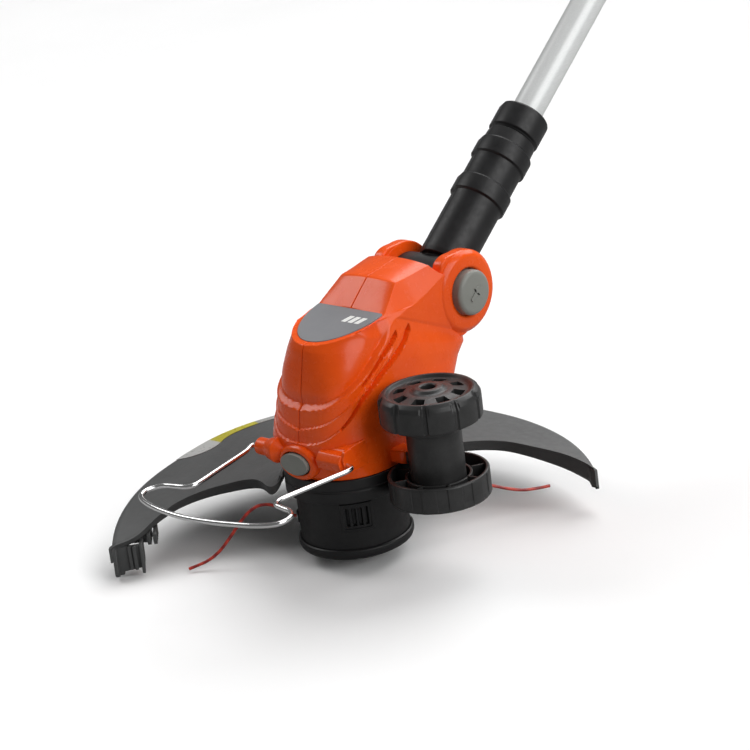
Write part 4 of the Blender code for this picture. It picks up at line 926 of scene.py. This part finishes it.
wireValues = {
    "radius": 1.9, "slope": 0.06,
    # (x, y) from the wheel side's end round the loop to the other end
    "route": (
        (40.0, -46.0), (45.0, -46.0), (49.0, -46.0), (53.0, -47.4), (54.4, -52.5), (51.2, -66.0),
        (46.5, -84.0), (42.0, -101.0), (40.6, -109.5), (43.6, -115.6), (51.0, -117.4), (60.0, -119.0),
        (66.2, -123.5), (68.4, -129.5), (67.4, -136.0), (62.0, -141.5), (53.5, -146.0), (43.9, -149.3),
        (19.0, -155.4), (-8.0, -158.6), (-34.0, -157.2), (-52.0, -153.4), (-63.0, -148.4),
        (-67.8, -142.0), (-67.4, -134.6), (-62.4, -127.6), (-54.0, -124.6), (-45.5, -122.4),
        (-40.4, -118.4), (-39.4, -112.5), (-41.0, -96.0), (-42.4, -81.5), (-44.6, -60.0),
        (-47.6, -51.5), (-47.6, -47.4), (-44.6, -46.0), (-41.0, -46.0), (-35.5, -46.0)),
}


def buildWire():
    # one bent wire, (x, y) route falling slightly towards the front
    fall = wireValues["slope"]
    route = [(x, y, wirePivot[1] + (y - wirePivot[0]) * fall) for x, y in wireValues["route"]]
    path = throughPoints(route, 460)
    shape = lattice(piped(path, wireValues["radius"], (0, 0, 1), 24))
    piece("wire_guard_bow", [shape], wireSteel, "wire_guard", ("wire_guard",))


buildSpool()
buildBase()
buildGuard()
buildWheels()
buildWire()
print("cutting head, guard and wheels made")


def buildSleeve():
    # ringed sleeve, the barrel and trunnion it tilts on, the web between them, and its collar
    def flats(radius, height, angle):
        # one long flat runs up the upper left, cut to the same depth below every ring
        away = (np.degrees(angle) + 126.0 + 180.0) % 360.0 - 180.0
        reach = radius * np.cos(math.radians(17.0)) / np.cos(np.radians(np.clip(away, -17.0, 17.0)))
        return np.where((np.abs(away) < 17.0) & (radius > 17.0), reach, radius), height
    sleeve = turned(((12.9, 20.0), (20.0, 20.0), (20.8, 24.0), (20.8, 77.6), (23.0, 78.4), (23.0, 91.6),
                     (21.6, 92.4), (20.9, 93.0), (20.9, 113.4), (22.8, 114.2), (22.8, 127.4), (21.4, 128.2),
                     (20.4, 129.0), (20.0, 139.0), (12.9, 139.0), (12.9, 20.0)), 180, 0.6, flats)
    barrel = turned(((0.4, -24.8), (23.0, -24.8), (24.0, -23.6), (24.0, 23.6), (23.0, 24.8), (0.4, 24.8)),
                    160, 0.8)
    trunnion = turned(((0.4, -29.6), (10.0, -29.6), (10.0, 29.6), (0.4, 29.6)), 64, 0.6)
    web = slab(oval(17.6, 15.0, 3.0), 4.0, 26.0, 2.0)
    shapes = [onShaft(sleeve), put(barrel, pivot, *acrossTool), put(trunnion, pivot, *acrossTool),
              onShaft(web)]
    piece("shaft_sleeve_shell", shapes, nylon, "sleeve", ("shaft_sleeve",))
    collar = turned(((12.9, 139.6), (18.4, 139.6), (19.0, 141.2), (20.9, 142.0), (20.9, 161.4), (19.6, 163.0),
                     (12.9, 163.0), (12.9, 139.6)), 160, 0.7, flats)
    piece("sleeve_collar_ring", [onShaft(collar)], nylon, "sleeve", ("sleeve_collar",))


def buildTubes():
    lower = turned(((11.3, 62.5), (12.6, 62.5), (12.6, 640.0), (11.3, 640.0), (11.3, 62.5)), 128, 0.3)
    piece("lower_tube_drawn", [onShaft(lower)], tubeMetal, "lower_tube", ("lower_tube",))
    upper = turned(((12.9, 520.0), (14.9, 520.0), (14.9, 905.0), (12.9, 905.0), (12.9, 520.0)), 128, 0.3)
    piece("upper_tube_drawn", [onShaft(upper)], tubeMetal, "handle", ("upper_tube",))


buildSleeve()
buildTubes()
print("shaft made")


def dressNodes():
    finishes = {
        nylon: ("clamp_lever", "tube_clamp", "aux_bracket", "aux_knob", "motor_brush_cap", "line_bobbin",
                "power_switch", "trigger", "lock_off_button", "battery_case", "battery_cells"),
        rubber: ("aux_handle",),
        orange: ("handle_left", "handle_right"),
        greyAbs: ("battery_latch",),
        screwSteel: ("clamp_bolt", "aux_bolt", "handle_screw_1", "handle_screw_2", "handle_screw_3",
                     "housing_screw_1", "housing_screw_2", "housing_screw_3", "housing_screw_4",
                     "guard_screw_1", "guard_screw_2", "guard_screw_3", "wheel_axle", "line_cutter",
                     "drive_hub", "drive_shaft", "line_eyelet_1", "line_eyelet_2", "bump_spring",
                     "shaft_bearing"),
        motorSteel: ("motor_can",),
        brass: ("battery_terminals",),
        board: ("control_board",),
        lineNylon: ("wound_line",),
    }
    for finish, names in finishes.items():
        for name in names:
            slots = nodes[name].data.materials
            slots.clear()
            slots.append(finish)


dressNodes()
print("remaining parts finished")


def studio():
    floor = bpy.data.meshes.new("floor")
    size, drop = 14.0, -0.0004                  # metres; just under the tool's lowest point
    floor.from_pydata([(-size, -size, drop), (size, -size, drop), (size, size, drop), (-size, size, drop)],
                      [], [(0, 1, 2, 3)])
    paper, tree, shader, place = plainShader("seamless white paper")
    # the floor throws less light back at the tool than the camera sees on it
    seen = addNode(tree, "ShaderNodeLightPath").outputs["Is Camera Ray"]
    paperTone = ramp(tree, grain(tree, place, 300.0, 2.0), ((0.3, "#f7f7f7"), (0.7, "#fbfbfb")))
    mix = addNode(tree, "ShaderNodeMixRGB", {1: linear("#a0a0a0")}, {0: seen, 2: paperTone})
    tree.links.new(mix.outputs[0], shader.inputs["Base Color"])
    shader.inputs["Roughness"].default_value = 0.9
    floor.materials.append(paper)
    ground = intoScene("floor", floor)
    bpy.context.scene.view_settings.view_transform = "Standard"
    world = bpy.data.worlds.new("studio")
    bpy.context.scene.world = world
    world.use_nodes = True
    sky = world.node_tree.nodes["Background"]
    sky.inputs["Color"].default_value = (1.0, 1.0, 1.0, 1.0)
    sky.inputs["Strength"].default_value = 0.15
    suns = {
        # the way the light comes from, strength, softness in degrees
        "overhead silk": ((-0.12, 0.95, 1.0), 2.55, 56.0),
        "wheel side silk": ((1.0, 0.10, 0.55), 1.85, 50.0),
    }
    for name, (way, strength, spread) in suns.items():
        lamp = bpy.data.lights.new(name, "SUN")
        lamp.energy = strength
        lamp.angle = math.radians(spread)
        intoScene(name, lamp).rotation_euler = Vector(way).to_track_quat("Z", "Y").to_euler()
    boxes = {
        # place, aim, size in metres, power in watts
        "crown softbox": ((-1.10, -0.28, 1.30), (0.0, 0.03, 0.19), 0.75, 7.0),
    }
    for name, (spot, aim, wide, watts) in boxes.items():
        lamp = bpy.data.lights.new(name, "AREA")
        lamp.shape = "SQUARE"
        lamp.size = wide
        lamp.energy = watts
        thing = intoScene(name, lamp)
        thing.location = spot
        thing.rotation_euler = (Vector(aim) - Vector(spot)).to_track_quat("-Z", "Y").to_euler()


studio()
print("studio ready")
